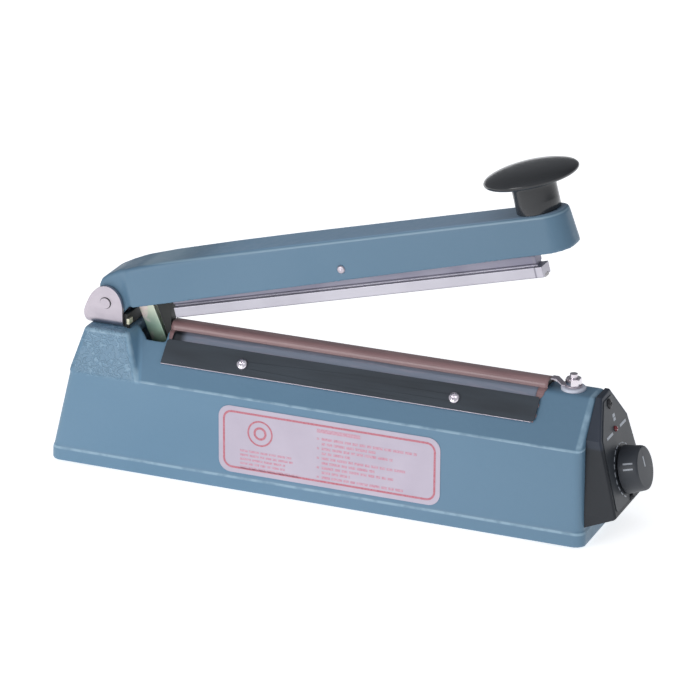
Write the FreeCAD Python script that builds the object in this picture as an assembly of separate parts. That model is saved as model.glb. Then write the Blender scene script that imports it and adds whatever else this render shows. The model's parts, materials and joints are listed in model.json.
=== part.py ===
"""Impulse heat sealer with a 200 mm seal, built as separate solids in one frame.

X runs along the length from the hinge end to the timer knob, Z is up, and the
near side is -Y.  All sizes are millimetres.  The arm stands open, at rest.
"""
import FreeCAD, Part
import math
import os

V = FreeCAD.Vector
os.makedirs("parts", exist_ok=True)

# ---------------------------------------------------------------- base casting
LIFT = 1.5                    # the casting's lower rim above the bench
CREASE_Z = 51.8               # where the lower wall turns into the upper slope
DECK_Z = 73.6                 # top of the ridge that carries the seal bed
DECK_HALF = 7.0               # half width of that ridge before its edges are rounded
PEDESTAL_Z = 74.5             # top of the block that carries the hinge
PEDESTAL_HALF = 20.0
WALL_X0, WALL_X1 = -161.0, 133.0      # lower wall, carried down to the rim
CREASE_X0, CREASE_X1 = -148.9, 131.2  # lower wall at the crease
WALL_HALF = 28.2
CREASE_HALF = 27.3
SKIRT_X0, SKIRT_X1 = -160.0, 133.8
SKIRT_HALF = 29.0
SKIRT_TOP = 8.7
SKIRT_DRAFT = 0.25
PED_X0, PED_X1 = -142.5, -117.6       # top of the pedestal
PED_FOOT_X1 = -109.3                  # where its front face meets the crease
PED_EDGE_R = 2.4
RIDGE_X0 = -122.6                     # the ridge starts in front of the bracket
CORNER_R = 4.5
SHELL_T = 3.0
SLOT_X0, SLOT_X1 = -119.2, -100.9
SLOT_HALF = 10.9
SLOT_END_HALF = 4.6                   # the slot narrows to this at its hinge end
SLOT_FULL_X = -110.5                  # and is full width from here on
COLUMN_R = 4.0
COLUMN_POINTS = [(-139.0, -17.5), (-139.0, 17.5), (116.0, -17.5), (116.0, 17.5)]
FOOT_SCREW_R = 1.6
FOOT_SCREW_LENGTH = 14.0

# ---------------------------------------------------------------- bottom plate and feet
PLATE_Z0, PLATE_Z1 = 4.0, 5.2
PLATE_X0, PLATE_X1 = -152.0, 127.6
PLATE_HALF = 23.6
FOOT_R = 7.0
FOOT_HEAD_R = 3.2
FOOT_HEAD_T = 1.6

# ---------------------------------------------------------------- cord inlet
INLET_Z = 19.0
INLET_BORE_R = 3.3
INLET_BODY_R = 5.2
INLET_FLANGE_R = 7.4
INLET_FLANGE_T = 1.8

# ---------------------------------------------------------------- hinge
HINGE_X, HINGE_Z = -132.85, 86.8
EAR_OUT = 14.0
SHEET_T = 2.0
EAR_BEND_R = 3.6
BRACKET_X1 = -123.4
PIN_R = 2.8
PIN_BORE_R = 2.86
PIN_END = 14.7
CLIP_R = 4.6
CLIP_T = 0.7
BRACKET_SCREWS = [-139.0, -128.0]

# ---------------------------------------------------------------- arm, in its own frame
# origin on the hinge axis, +X towards the press knob, +Z away from the base
ARM_OPEN = 14.4               # degrees the arm stands above the base at rest
ARM_TOP = 18.3
ARM_BOTTOM_REAR, ARM_BOTTOM_FRONT = -4.1, -1.0
ARM_NOSE = 258.6
ARM_SHOULDER = 15.5
ARM_NECK_HALF = 11.5
ARM_NECK_REAR = -3.0
ARM_DRAFT = 0.1               # the sides lean in by this much per mm of height
DRAFT_LOW, DRAFT_HIGH = 1.6, 2.6      # reach of the drafted block below and above the lower edge
ARM_WALL = 2.6
ARM_ROOF = 2.8
BARREL_R = 7.8
NOSE_R = 11.5
SPRING_SEAT_X = 31.0
SPRING_SEAT_Z = 3.6
SPRING_SEAT_R = 3.2

# ---------------------------------------------------------------- lever, in the arm frame
LEVER_X0, LEVER_X1 = 12.2, 20.8
LEVER_HALF = 3.6
LEVER_T = 1.4
LEVER_LOW, LEVER_HIGH = -46.0, 8.6
LEVER_SCREW_X = 16.6
LEVER_BEND_Z = -5.0           # below this the lever leans forward
LEVER_LEAN = 0.14             # by this much per mm
LEVER_TAB = 9.0               # height of the foot that presses the switch

# ---------------------------------------------------------------- pressure bar, in the arm frame
BAR_X0, BAR_X1 = 33.0, 238.8
BAR_BOTTOM = -14.9
STRIP_PROUD = 0.5
RIVET_X, RIVET_Z = 136.0, 3.3
RIVET_R = 1.5
RIVET_BORE_R = 1.56
RIVET_HEAD_R = 2.1
RIVET_REACH = 13.3            # the rivet's heads sit in shallow spot faces, this far from the middle
BAR_WEB_X1 = 236.1            # the web ends before the foot does
BAR_RAIL_X0 = 40.0            # the top rail stops short of the spring seat

# ---------------------------------------------------------------- press knob, in the arm frame
KNOB_X = 242.3
KNOB_STEM_R = 11.2
KNOB_DISC_R = 24.5
STUD_R = 3.0

# ---------------------------------------------------------------- seal bed and cloth
BED_X0, BED_X1 = -99.4, 104.4
BED_HALF = 4.6
BED_TOP = 77.4
BED_EDGE_R = 3.2              # the bed's top is crowned by these wide roundings
ELEMENT_HALF = 1.3
ELEMENT_T = 0.2
CLOTH_HALF = 4.9
CLOTH_TOP = 78.1
CLOTH_SHOULDER_R = 3.5
CLOTH_T = 0.25
CLOTH_FOOT = 74.2
CLOTH_EDGE_Y = 19.2           # the cloth and the sheets reach down the slope to here
SHEET_SIDE_T = 0.25
SHEET_X0, SHEET_X1 = -97.4, 101.0     # the side sheets leave the cloth's ends showing
SHEET_TOP_Y = 5.45
CLAMP_LIFT = CLOTH_T + SHEET_SIDE_T   # the clamp plates lie on the cloth and the sheets

# ---------------------------------------------------------------- clamp plates
CLAMP_X0, CLAMP_X1 = -99.35, 103.65
CLAMP_S0, CLAMP_S1 = 11.6, 25.3      # distance up the slope from the crease
CLAMP_T = 0.85
CLAMP_SCREWS = [-55.2, 60.2]
CLAMP_SCREW_S = 17.8
PAN_R = 2.9
PAN_T = 1.8
SCREW_R = 1.5

# ---------------------------------------------------------------- front terminal
TERM_X = 117.0
TERM_WASHER_R = 6.3
TERM_WASHER_T = 1.6
TERM_LUG_T = 0.8
TERM_NUT_AF = 7.2
TERM_NUT_T = 3.6
TERM_STUD_R = 2.0
TERM_STUD_TOP = 81.8

# ---------------------------------------------------------------- rear block and return spring
BLOCK_FOOT_X0, BLOCK_HEAD_X0 = -103.0, -110.0   # its rear face leans back, clear of the lever
BLOCK_X1 = -101.0
BLOCK_HALF = 3.0
BLOCK_Z0, BLOCK_Z1 = 69.4, 88.8
BLOCK_TOE_X0, BLOCK_TOE_X1 = -102.0, -94.0   # the toe that hooks under the deck
BLOCK_TOE_Z0 = 67.0
SPRING_X = -103.7
SPRING_R = 1.5
SPRING_WIRE_R = 0.35
SPRING_BORE_R = 2.05
SPRING_Z0 = 80.0
SPRING_TURNS = 11

# ---------------------------------------------------------------- guard between hinge and slot
GUARD_X0, GUARD_X1 = -123.3, -121.4
GUARD_HALF = 12.0
GUARD_TOP = 81.4
GUARD_TAB_X1 = -119.9
GUARD_TAB_Y0, GUARD_TAB_Y1 = -13.2, -8.8
GUARD_TAB_Z0, GUARD_TAB_Z1 = 76.6, 79.4

# ---------------------------------------------------------------- timer cover
COVER_T = 2.0
FACE_FOOT = (149.1, 18.2)     # X, Z of the lower edge of the sloping front
FACE_HEAD = (133.9, 73.9)     # X, Z of its upper edge
COVER_BACK_Z = 11.3
COVER_FOOT_HALF = 24.2
COVER_CREASE_Z = 56.3
COVER_CREASE_HALF = 20.4
COVER_HEAD_HALF = 6.6
FACE_TILT = math.degrees(math.atan2(FACE_FOOT[0] - FACE_HEAD[0], FACE_HEAD[1] - FACE_FOOT[1]))
FACE_LENGTH = math.hypot(FACE_FOOT[0] - FACE_HEAD[0], FACE_HEAD[1] - FACE_FOOT[1])
DIAL_UP = 17.2                # dial centre above the lower edge, along the front
DIAL_X = FACE_FOOT[0] - DIAL_UP * math.sin(math.radians(FACE_TILT))
DIAL_Z = FACE_FOOT[1] + DIAL_UP * math.cos(math.radians(FACE_TILT))
DIAL_PLATE_T = 0.4
TIMER_R0, TIMER_R1 = 12.2, 11.3
TIMER_GAP = 0.7
TIMER_LENGTH = 10.2
SHAFT_R = 3.0
BUSH_R = 3.6
LAMP_UP = 21.8
LAMP_R = 1.5
COVER_SCREWS = [(35.0, 2.5, 1.5, 7.5), (-14.3, 1.8, 1.0, 19.0)]   # up, head radius, shank radius, length


# ================================================================ helpers
def box(x0, x1, y0, y1, z0, z1):
    return Part.makeBox(x1 - x0, y1 - y0, z1 - z0, V(x0, y0, z0))


def cylinder(point, axis, radius, height):
    return Part.makeCylinder(radius, height, V(*point), V(*axis))


def cone(point, axis, r0, r1, height):
    return Part.makeCone(r0, r1, height, V(*point), V(*axis))


def polygon(points):
    vectors = [V(*p) for p in points]
    return Part.makePolygon(vectors + [vectors[0]])


def prism_xz(points, y0, y1):
    face = Part.Face(polygon([(x, y0, z) for x, z in points]))
    return face.extrude(V(0, y1 - y0, 0))


def prism_yz(points, x0, x1):
    face = Part.Face(polygon([(x0, y, z) for y, z in points]))
    return face.extrude(V(x1 - x0, 0, 0))


def prism_xy(points, z0, z1):
    face = Part.Face(polygon([(x, y, z0) for x, y in points]))
    return face.extrude(V(0, 0, z1 - z0))


def frustum(low, z_low, high, z_high):
    """Block between two rectangles (x0, x1, half width) at two heights, with flat sides."""
    (x0, x1, half), (top_x0, top_x1, top_half) = low, high
    reach = max(half, top_half) + 1.0
    along = prism_xz([(x0, z_low), (x1, z_low), (top_x1, z_high), (top_x0, z_high)], -reach, reach)
    across = prism_yz([(-half, z_low), (half, z_low), (top_half, z_high), (-top_half, z_high)],
                      min(x0, top_x0) - 1.0, max(x1, top_x1) + 1.0)
    return along.common(across)


def revolved(profile, point, axis):
    """Solid of revolution: profile is (radius, height) pairs, height along axis."""
    wire = polygon([(r, 0, h) for r, h in profile])
    solid = Part.Face(wire).revolve(V(0, 0, 0), V(0, 0, 1), 360)
    turn = FreeCAD.Rotation(V(0, 0, 1), V(*axis))
    solid.Placement = FreeCAD.Placement(V(*point), turn)
    return solid


def hexagon_nut(point, axis, across, height, bore):
    corner = across / math.sqrt(3.0)
    pts = [(corner * math.cos(math.radians(60 * k)), corner * math.sin(math.radians(60 * k)), 0)
           for k in range(6)]
    nut = Part.Face(polygon(pts)).extrude(V(0, 0, height))
    nut = nut.cut(Part.makeCylinder(bore, height, V(0, 0, 0)))
    nut.Placement = FreeCAD.Placement(V(*point), FreeCAD.Rotation(V(0, 0, 1), V(*axis)))
    return nut


def pan_screw(point, axis, head_r, head_t, shank_r, shank_length):
    """Pan head on the axis side of the point, shank on the other, cross recess in the head."""
    profile = [(0, -shank_length), (shank_r, -shank_length), (shank_r, 0), (head_r, 0),
               (head_r, head_t * 0.45), (head_r * 0.86, head_t * 0.8), (head_r * 0.5, head_t),
               (0, head_t)]
    screw = revolved(profile, (0, 0, 0), (0, 0, 1))
    arm = head_r * 0.55
    slot = head_r * 0.11
    depth = head_t * 0.5
    cross = box(-arm, arm, -slot, slot, head_t - depth, head_t + 1)
    cross = cross.fuse(box(-slot, slot, -arm, arm, head_t - depth, head_t + 1))
    screw = screw.cut(cross)
    screw.Placement = FreeCAD.Placement(V(*point), FreeCAD.Rotation(V(0, 0, 1), V(*axis)))
    return screw


def mirrored(shape):
    return shape.mirror(V(0, 0, 0), V(0, 1, 0))


def fused(shapes):
    result = shapes[0]
    for shape in shapes[1:]:
        result = result.fuse(shape)
    return result.removeSplitter()


def in_arm(shape):
    """Moves a shape from the arm's frame to its place with the arm at rest."""
    moved = shape.copy()
    moved.rotate(V(0, 0, 0), V(0, 1, 0), -ARM_OPEN)
    moved.translate(V(HINGE_X, 0, HINGE_Z))
    return moved


def on_face(shape):
    """Moves a shape from the dial's frame, +X out of the front, to its place."""
    moved = shape.copy()
    moved.rotate(V(0, 0, 0), V(0, 1, 0), -FACE_TILT)
    moved.translate(V(DIAL_X, 0, DIAL_Z))
    return moved


def rounded(shape, radius, wanted):
    """Fillets the edges that wanted() picks, and keeps the shape if the kernel can't."""
    edges = [edge for edge in shape.Edges if wanted(edge)]
    if not edges:
        return shape
    try:
        result = shape.makeFillet(radius, edges)
    except Exception:
        print("fillet skipped", radius, len(edges))
        return shape
    if not result.isValid() or result.Volume < shape.Volume * 0.5:
        print("fillet refused", radius, len(edges))
        return shape
    return result


def edge_ends(edge):
    return [vertex.Point for vertex in edge.Vertexes]


def save(name, shape):
    solids = shape.Solids
    result = solids[0] if len(solids) == 1 else Part.makeCompound(solids)
    if not result.isValid():
        print("not valid:", name)
    box_ = result.BoundBox
    print("%-24s %2d solid %9.1f mm3  X %.1f %.1f Y %.1f %.1f Z %.1f %.1f" % (
        name, len(solids), sum(s.Volume for s in solids), box_.XMin, box_.XMax,
        box_.YMin, box_.YMax, box_.ZMin, box_.ZMax))
    result.exportStep("parts/%s.step" % name)


# ================================================================ base casting
SLOPE = V(0, -(CREASE_HALF - DECK_HALF), DECK_Z - CREASE_Z)
SLOPE_LENGTH = SLOPE.Length
UP_Y = (CREASE_HALF - DECK_HALF) / SLOPE_LENGTH      # towards the ridge, per mm up the slope
UP_Z = (DECK_Z - CREASE_Z) / SLOPE_LENGTH
OUT_Y, OUT_Z = UP_Z, UP_Y                            # the slope's outward direction


def ridge_points(offset):
    """Half outline of the upper slope and deck, moved outwards by offset."""
    low = (CREASE_HALF + OUT_Y * offset, CREASE_Z + OUT_Z * offset)
    corner_y = DECK_HALF + offset * math.tan(math.atan2(OUT_Y, OUT_Z) / 2)
    radius = 3.0 + offset
    turn = math.atan2(OUT_Y, OUT_Z)
    reach = radius * math.tan(turn / 2)
    top = DECK_Z + offset
    centre = (corner_y - reach, top - radius)
    arc = []
    for k in range(7):
        angle = turn * (1 - k / 6.0)
        arc.append((centre[0] + radius * math.sin(angle), centre[1] + radius * math.cos(angle)))
    return [low] + arc


def ridge_solid(x0, x1, offset, z_floor):
    half = ridge_points(offset)
    near = [(-y, z) for y, z in half]
    outline = [(half[0][0], z_floor)] + half + near[::-1] + [(near[0][0], z_floor)]
    return prism_yz(outline, x0, x1)


def wall_block(inset, z0, z1):
    """The lower wall as a solid block between two heights, inset all round."""
    def at(z):
        f = (z - LIFT) / (CREASE_Z - LIFT)
        x0 = WALL_X0 + (CREASE_X0 - WALL_X0) * f + inset
        x1 = WALL_X1 + (CREASE_X1 - WALL_X1) * f - inset
        return (x0, x1, WALL_HALF + (CREASE_HALF - WALL_HALF) * f - inset)
    block = frustum(at(z0), z0, at(z1), z1)
    radius = max(CORNER_R - inset, 1.5)

    def upright(edge):
        a, b = edge_ends(edge)
        return abs(a.z - b.z) > 5
    return rounded(block, radius, upright)


def pedestal_block(inset, drop):
    foot = (CREASE_X0 + inset, PED_FOOT_X1 - inset, CREASE_HALF - inset)
    top = (PED_X0 + inset, PED_X1 - inset, PEDESTAL_HALF - inset)
    block = frustum(foot, CREASE_Z, top, PEDESTAL_Z - drop)
    return block


def base_outer():
    skirt = frustum((SKIRT_X0, SKIRT_X1, SKIRT_HALF), LIFT,
                    (SKIRT_X0 + SKIRT_DRAFT, SKIRT_X1 - SKIRT_DRAFT, SKIRT_HALF - SKIRT_DRAFT),
                    SKIRT_TOP)

    def upright(edge):
        a, b = edge_ends(edge)
        return abs(a.z - b.z) > 5
    skirt = rounded(skirt, CORNER_R + 0.6, upright)
    wall = wall_block(0.0, SKIRT_TOP - 1.5, CREASE_Z)
    pedestal = pedestal_block(0.0, 0.0)

    def pedestal_edge(edge):
        a, b = edge_ends(edge)
        slanted = abs(a.z - b.z) > 5
        return slanted
    pedestal = rounded(pedestal, PED_EDGE_R, pedestal_edge)

    def pedestal_top(edge):
        return all(abs(p.z - PEDESTAL_Z) < 0.01 for p in edge_ends(edge))
    pedestal = rounded(pedestal, 1.2, pedestal_top)
    ridge = ridge_solid(RIDGE_X0, CREASE_X1, 0.0, CREASE_Z)

    def ridge_end(edge):
        ends = edge_ends(edge)
        at_end = all(abs(p.x - CREASE_X1) < 0.01 for p in ends)
        return at_end and all(p.z > CREASE_Z - 0.01 for p in ends) and \
            not all(abs(p.z - CREASE_Z) < 0.01 for p in ends)
    ridge = rounded(ridge, 2.2, ridge_end)
    return fused([skirt, wall, pedestal, ridge])


def slot_cutter():
    near = [(SLOT_X0, -SLOT_END_HALF), (SLOT_FULL_X, -SLOT_HALF), (SLOT_X1, -SLOT_HALF)]
    far = [(x, -y) for x, y in near[::-1]]
    return prism_xy(near + far, CREASE_Z + 3, DECK_Z + 5)


def inlet_frame():
    """Point on the rear end wall and the wall's outward direction."""
    f = (INLET_Z - LIFT) / (CREASE_Z - LIFT)
    x = WALL_X0 + (CREASE_X0 - WALL_X0) * f
    lean = math.atan2(CREASE_X0 - WALL_X0, CREASE_Z - LIFT)
    return (x, 0.0, INLET_Z), (-math.cos(lean), 0.0, math.sin(lean))


def clamp_point(x, s, out, side):
    """Point s up the slope and out above it, on the near (-1) or far (+1) side."""
    y = CREASE_HALF - UP_Y * s + OUT_Y * out
    z = CREASE_Z + UP_Z * s + OUT_Z * out
    return (x, side * y, z)


def clamp_screw_places():
    places = []
    for side in (-1, 1):
        for x in CLAMP_SCREWS:
            point = clamp_point(x, CLAMP_SCREW_S, CLAMP_LIFT + CLAMP_T, side)
            places.append((point, (0, side * OUT_Y, OUT_Z)))
    return places


def drill(shape, point, axis, radius, length):
    start = tuple(p - a * length for p, a in zip(point, axis))
    return shape.cut(cylinder(start, axis, radius, length + 3.0))


def base_casting():
    outer = base_outer().cut(slot_cutter())
    inner = wall_block(SHELL_T, LIFT - 1.0, CREASE_Z + 0.01)
    inner = inner.fuse(ridge_solid(RIDGE_X0 + 6.0, CREASE_X1 - SHELL_T, -SHELL_T, CREASE_Z - 6.0))
    inner = inner.fuse(pedestal_block(SHELL_T + 0.4, SHELL_T + 0.6))
    shell = outer.cut(inner)
    columns = []
    for x, y in COLUMN_POINTS:
        column = cylinder((x, y, PLATE_Z1), (0, 0, 1), COLUMN_R, 80).common(outer)
        columns.append(column)
    shell = fused([shell] + columns)
    for x, y in COLUMN_POINTS:
        shell = shell.cut(cylinder((x, y, PLATE_Z0 - 2), (0, 0, 1), FOOT_SCREW_R,
                                   FOOT_SCREW_LENGTH + 2.5))
    point, axis = inlet_frame()
    start = tuple(p - a * 6.0 for p, a in zip(point, axis))
    shell = shell.cut(cylinder(start, axis, INLET_BODY_R + 0.04, 12.0))
    window = box(CREASE_X1 - 8, WALL_X1 + 5, -14.0, 14.0, 24.0, 46.0)
    shell = shell.cut(window)
    for point, axis in clamp_screw_places():
        shell = drill(shell, point, axis, SCREW_R, 8.0)
    for x in BRACKET_SCREWS:
        shell = shell.cut(cylinder((x, 0, PEDESTAL_Z - 8), (0, 0, 1), SCREW_R, 12))
    shell = shell.cut(cylinder((TERM_X, 0, DECK_Z - 8), (0, 0, 1), TERM_STUD_R + 0.03, 12))
    for up, _, shank_r, _ in COVER_SCREWS:
        shell = shell.cut(on_face(cylinder((-24.0, 0, up), (1, 0, 0), shank_r, 26.0)))
    return shell


# ================================================================ small base parts
def bottom_plate():
    plate = box(PLATE_X0, PLATE_X1, -PLATE_HALF, PLATE_HALF, PLATE_Z0, PLATE_Z1)

    def upright(edge):
        a, b = edge_ends(edge)
        return abs(a.z - b.z) > 1
    plate = rounded(plate, 3.0, upright)
    for x, y in COLUMN_POINTS:
        plate = plate.cut(cylinder((x, y, 0), (0, 0, 1), FOOT_SCREW_R + 0.2, 10))
    return plate


def rubber_feet():
    feet = []
    for x, y in COLUMN_POINTS:
        foot = revolved([(0, 0), (FOOT_R - 0.8, 0), (FOOT_R, 0.8), (FOOT_R, PLATE_Z0), (0, PLATE_Z0)],
                        (x, y, 0), (0, 0, 1))
        foot = foot.cut(cylinder((x, y, -1), (0, 0, 1), FOOT_SCREW_R, 8))
        foot = foot.cut(cylinder((x, y, -1), (0, 0, 1), FOOT_HEAD_R + 0.2, 1 + 2.2))
        feet.append(foot)
    return Part.makeCompound(feet)


def foot_screws():
    screws = []
    for x, y in COLUMN_POINTS:
        screws.append(pan_screw((x, y, 2.2), (0, 0, -1), FOOT_HEAD_R, FOOT_HEAD_T, FOOT_SCREW_R,
                                FOOT_SCREW_LENGTH - 0.5))
    return Part.makeCompound(screws)


def cord_grommet():
    point, axis = inlet_frame()
    profile = [(INLET_BORE_R, -5.0), (INLET_BODY_R + 1.4, -5.0), (INLET_BODY_R + 1.4, -SHELL_T - 0.1),
               (INLET_BODY_R, -SHELL_T - 0.1), (INLET_BODY_R, 0.0), (INLET_FLANGE_R, 0.0),
               (INLET_FLANGE_R, INLET_FLANGE_T * 0.6), (INLET_FLANGE_R - 1.0, INLET_FLANGE_T),
               (INLET_BORE_R, INLET_FLANGE_T)]
    return revolved(profile, point, axis)


# ================================================================ hinge
def ear_outline():
    """Side view of an ear: flat foot, rounded heel and domed head."""
    return [V(-142.8, 0, PEDESTAL_Z), V(-144.7, 0, 77.2), V(-145.3, 0, 80.6), V(-143.9, 0, 85.2),
            V(-141.3, 0, 90.2), V(-137.2, 0, 94.4), V(-132.4, 0, 95.9), V(-127.9, 0, 94.3),
            V(-124.7, 0, 90.2), V(-123.4, 0, 84.6), V(-123.4, 0, 79.5), V(-123.4, 0, PEDESTAL_Z)]


def hinge_bracket():
    z0 = PEDESTAL_Z
    outer = box(-146, BRACKET_X1, -EAR_OUT, EAR_OUT, z0, z0 + 26)

    def low_long(edge):
        ends = edge_ends(edge)
        return abs(ends[0].x - ends[1].x) > 10 and all(abs(p.z - z0) < 0.01 for p in ends)
    outer = rounded(outer, EAR_BEND_R, low_long)
    inner = box(-150, BRACKET_X1 + 4, -EAR_OUT + SHEET_T, EAR_OUT - SHEET_T, z0 + SHEET_T, z0 + 30)

    def inner_low(edge):
        ends = edge_ends(edge)
        return abs(ends[0].x - ends[1].x) > 10 and all(abs(p.z - z0 - SHEET_T) < 0.01 for p in ends)
    inner = rounded(inner, EAR_BEND_R - SHEET_T, inner_low)
    channel = outer.cut(inner)
    points = ear_outline()
    curve = Part.BSplineCurve()
    curve.interpolate(points)
    wire = Part.Wire([curve.toShape(), Part.makeLine(points[-1], points[0])])
    shape = Part.Face(wire).extrude(V(0, 40, 0))
    shape.translate(V(0, -20, 0))
    bracket = channel.common(shape)
    bracket = bracket.cut(cylinder((HINGE_X, -20, HINGE_Z), (0, 1, 0), PIN_R, 40))
    for x in BRACKET_SCREWS:
        bracket = bracket.cut(cylinder((x, 0, z0 - 1), (0, 0, 1), SCREW_R + 0.15, 6))
    return bracket


def bracket_screws():
    return Part.makeCompound([pan_screw((x, 0, PEDESTAL_Z + SHEET_T), (0, 0, 1), PAN_R, 1.7, SCREW_R, 7.0)
                              for x in BRACKET_SCREWS])


def hinge_pin():
    pin = cylinder((HINGE_X, -PIN_END, HINGE_Z), (0, 1, 0), PIN_R, 2 * PIN_END + 0.9)
    groove_y = EAR_OUT + 0.05
    ring = cylinder((HINGE_X, groove_y, HINGE_Z), (0, 1, 0), PIN_R + 1, CLIP_T)
    ring = ring.cut(cylinder((HINGE_X, groove_y, HINGE_Z), (0, 1, 0), PIN_R - 0.5, CLIP_T))
    return pin.cut(ring)


def pin_clip():
    y = EAR_OUT + 0.05
    clip = cylinder((HINGE_X, y, HINGE_Z), (0, 1, 0), CLIP_R, CLIP_T)
    clip = clip.cut(cylinder((HINGE_X, y, HINGE_Z), (0, 1, 0), PIN_R - 0.5, CLIP_T))
    return clip.cut(box(HINGE_X - 1.7, HINGE_X + 1.7, y - 1, y + 3, HINGE_Z - 8, HINGE_Z))


# ================================================================ seal bed
def seal_bed():
    bed = box(BED_X0, BED_X1, -BED_HALF, BED_HALF, DECK_Z, BED_TOP)

    def top_long(edge):
        ends = edge_ends(edge)
        return abs(ends[0].x - ends[1].x) > 50 and all(abs(p.z - BED_TOP) < 0.01 for p in ends)
    return rounded(bed, BED_EDGE_R, top_long)


def edge_sheets():
    band = ridge_solid(SHEET_X0, SHEET_X1, CLOTH_T + SHEET_SIDE_T, CREASE_Z + 1)
    band = band.cut(ridge_solid(SHEET_X0 - 1, SHEET_X1 + 1, CLOTH_T, CREASE_Z))
    near = band.common(box(SHEET_X0, SHEET_X1, -CLOTH_EDGE_Y, -SHEET_TOP_Y, CREASE_Z + 5, DECK_Z + 5))
    solids = []
    for side in (near, mirrored(near)):
        for point, axis in clamp_screw_places():
            side = drill(side, point, axis, SCREW_R + 0.2, 8.0)
        solids += side.Solids
    return Part.makeCompound(solids)


def heating_element():
    return box(BED_X0 + 0.6, BED_X1 + 0.8, -ELEMENT_HALF, ELEMENT_HALF, BED_TOP, BED_TOP + ELEMENT_T)


def cloth_profile(inset):
    """Half outline of the draped cloth, from its lower edge up to the bed's top, as (y, z)."""
    out = CLOTH_T - inset
    slope = ridge_points(out)
    drop = (slope[0][1] - slope[1][1]) / (slope[0][0] - slope[1][0])
    points = [(CLOTH_EDGE_Y, slope[1][1] + drop * (CLOTH_EDGE_Y - slope[1][0]))]
    points += slope[1:]
    half = CLOTH_HALF - inset
    top = CLOTH_TOP - inset
    shoulder = CLOTH_SHOULDER_R - inset
    points += [(half + 0.45, DECK_Z + out), (half, CLOTH_FOOT)]
    steps = 8
    for k in range(steps + 1):
        angle = math.radians(90 * k / steps)
        points.append((half - shoulder * (1 - math.cos(angle)),
                       top - 0.25 - shoulder * (1 - math.sin(angle))))
    points.append((ELEMENT_HALF - 0.4, top))
    return points


def release_cloth():
    """One sheet over the bed and both shoulders, down to under the clamp plates."""
    outer = cloth_profile(0.0)
    inner = cloth_profile(CLOTH_T)
    outline = outer + [(-y, z) for y, z in outer[::-1]] + [(-y, z) for y, z in inner] + inner[::-1]
    cloth = prism_yz(outline, BED_X0 - 0.8, BED_X1 + 0.9)
    for point, axis in clamp_screw_places():
        cloth = drill(cloth, point, axis, SCREW_R + 0.2, 8.0)
    return cloth


def clamp_plate(side):
    points = [(CLAMP_X0, CLAMP_S0), (CLAMP_X1 - 1.8, CLAMP_S0), (CLAMP_X1, CLAMP_S0 + 1.8),
              (CLAMP_X1, CLAMP_S1 - 1.0), (CLAMP_X1 - 1.0, CLAMP_S1), (CLAMP_X0 + 1.0, CLAMP_S1),
              (CLAMP_X0, CLAMP_S1 - 1.0)]
    base = [V(*clamp_point(x, s, CLAMP_LIFT, side)) for x, s in points]
    face = Part.Face(Part.makePolygon(base + [base[0]]))
    rise = V(0, side * OUT_Y, OUT_Z) * CLAMP_T
    plate = face.extrude(rise)
    for point, axis in clamp_screw_places():
        plate = drill(plate, point, axis, SCREW_R + 0.2, 8.0)
    return plate


def clamp_plate_near():
    return clamp_plate(-1)


def clamp_plate_far():
    return clamp_plate(1)


def clamp_screws():
    return Part.makeCompound([pan_screw(point, axis, PAN_R, PAN_T, SCREW_R, 6.5)
                              for point, axis in clamp_screw_places()])


# ================================================================ terminals
def terminal_washer():
    z = DECK_Z
    return revolved([(TERM_STUD_R, 0), (TERM_WASHER_R, 0), (TERM_WASHER_R, TERM_WASHER_T - 0.5),
                     (TERM_WASHER_R - 0.6, TERM_WASHER_T), (TERM_STUD_R, TERM_WASHER_T)],
                    (TERM_X, 0, z), (0, 0, 1))


def terminal_lug():
    z = DECK_Z + TERM_WASHER_T
    t = TERM_LUG_T
    ring = cylinder((TERM_X, 0, z), (0, 0, 1), 4.4, t)
    tongue = box(TERM_X - 5.6, TERM_X, -2.6, 2.6, z, z + t)
    x0, x1, x2 = BED_X1 + 1.3, TERM_X - 8.6, TERM_X - 5.6
    top = BED_TOP + ELEMENT_T
    ramp = prism_xz([(x0, top), (x1, top), (x2, z), (x2, z + t), (x1 + 0.3, top + t), (x0, top + t)],
                    -2.2, 2.2)
    lug = fused([ring, tongue, ramp])
    return lug.cut(cylinder((TERM_X, 0, z - 1), (0, 0, 1), TERM_STUD_R, 5))


def terminal_nut():
    return hexagon_nut((TERM_X, 0, DECK_Z + TERM_WASHER_T + TERM_LUG_T), (0, 0, 1),
                       TERM_NUT_AF, TERM_NUT_T, TERM_STUD_R)


def terminal_stud():
    stud = cylinder((TERM_X, 0, DECK_Z - 8), (0, 0, 1), TERM_STUD_R, TERM_STUD_TOP - DECK_Z + 8)
    head = cylinder((TERM_X, 0, DECK_Z - 10), (0, 0, 1), 3.6, 2.0)
    return fused([stud, head])


def rear_block():
    profile = [(BLOCK_FOOT_X0, BLOCK_Z0), (BLOCK_X1, BLOCK_Z0), (BLOCK_X1, BLOCK_Z1),
               (BLOCK_HEAD_X0, BLOCK_Z1)]
    post = prism_xz(profile, -BLOCK_HALF, BLOCK_HALF)
    under_deck = DECK_Z - SHELL_T - 0.02
    toe = box(BLOCK_TOE_X0, BLOCK_TOE_X1, -BLOCK_HALF, BLOCK_HALF, BLOCK_TOE_Z0, under_deck)
    block = fused([post, toe])
    return block.cut(cylinder((SPRING_X, 0, SPRING_Z0), (0, 0, 1), SPRING_BORE_R, 30))


def hinge_guard():
    """Insulating board that screens the hinge from the slot."""
    return box(GUARD_X0, GUARD_X1, -GUARD_HALF, GUARD_HALF, PEDESTAL_Z, GUARD_TOP)


def guard_tab():
    tab = box(GUARD_X1, GUARD_TAB_X1, GUARD_TAB_Y0, GUARD_TAB_Y1, GUARD_TAB_Z0, GUARD_TAB_Z1)
    leg = box(GUARD_X1, GUARD_TAB_X1, GUARD_TAB_Y0, GUARD_TAB_Y0 + 1.0, PEDESTAL_Z, GUARD_TAB_Z0)
    return fused([tab, leg])


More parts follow.
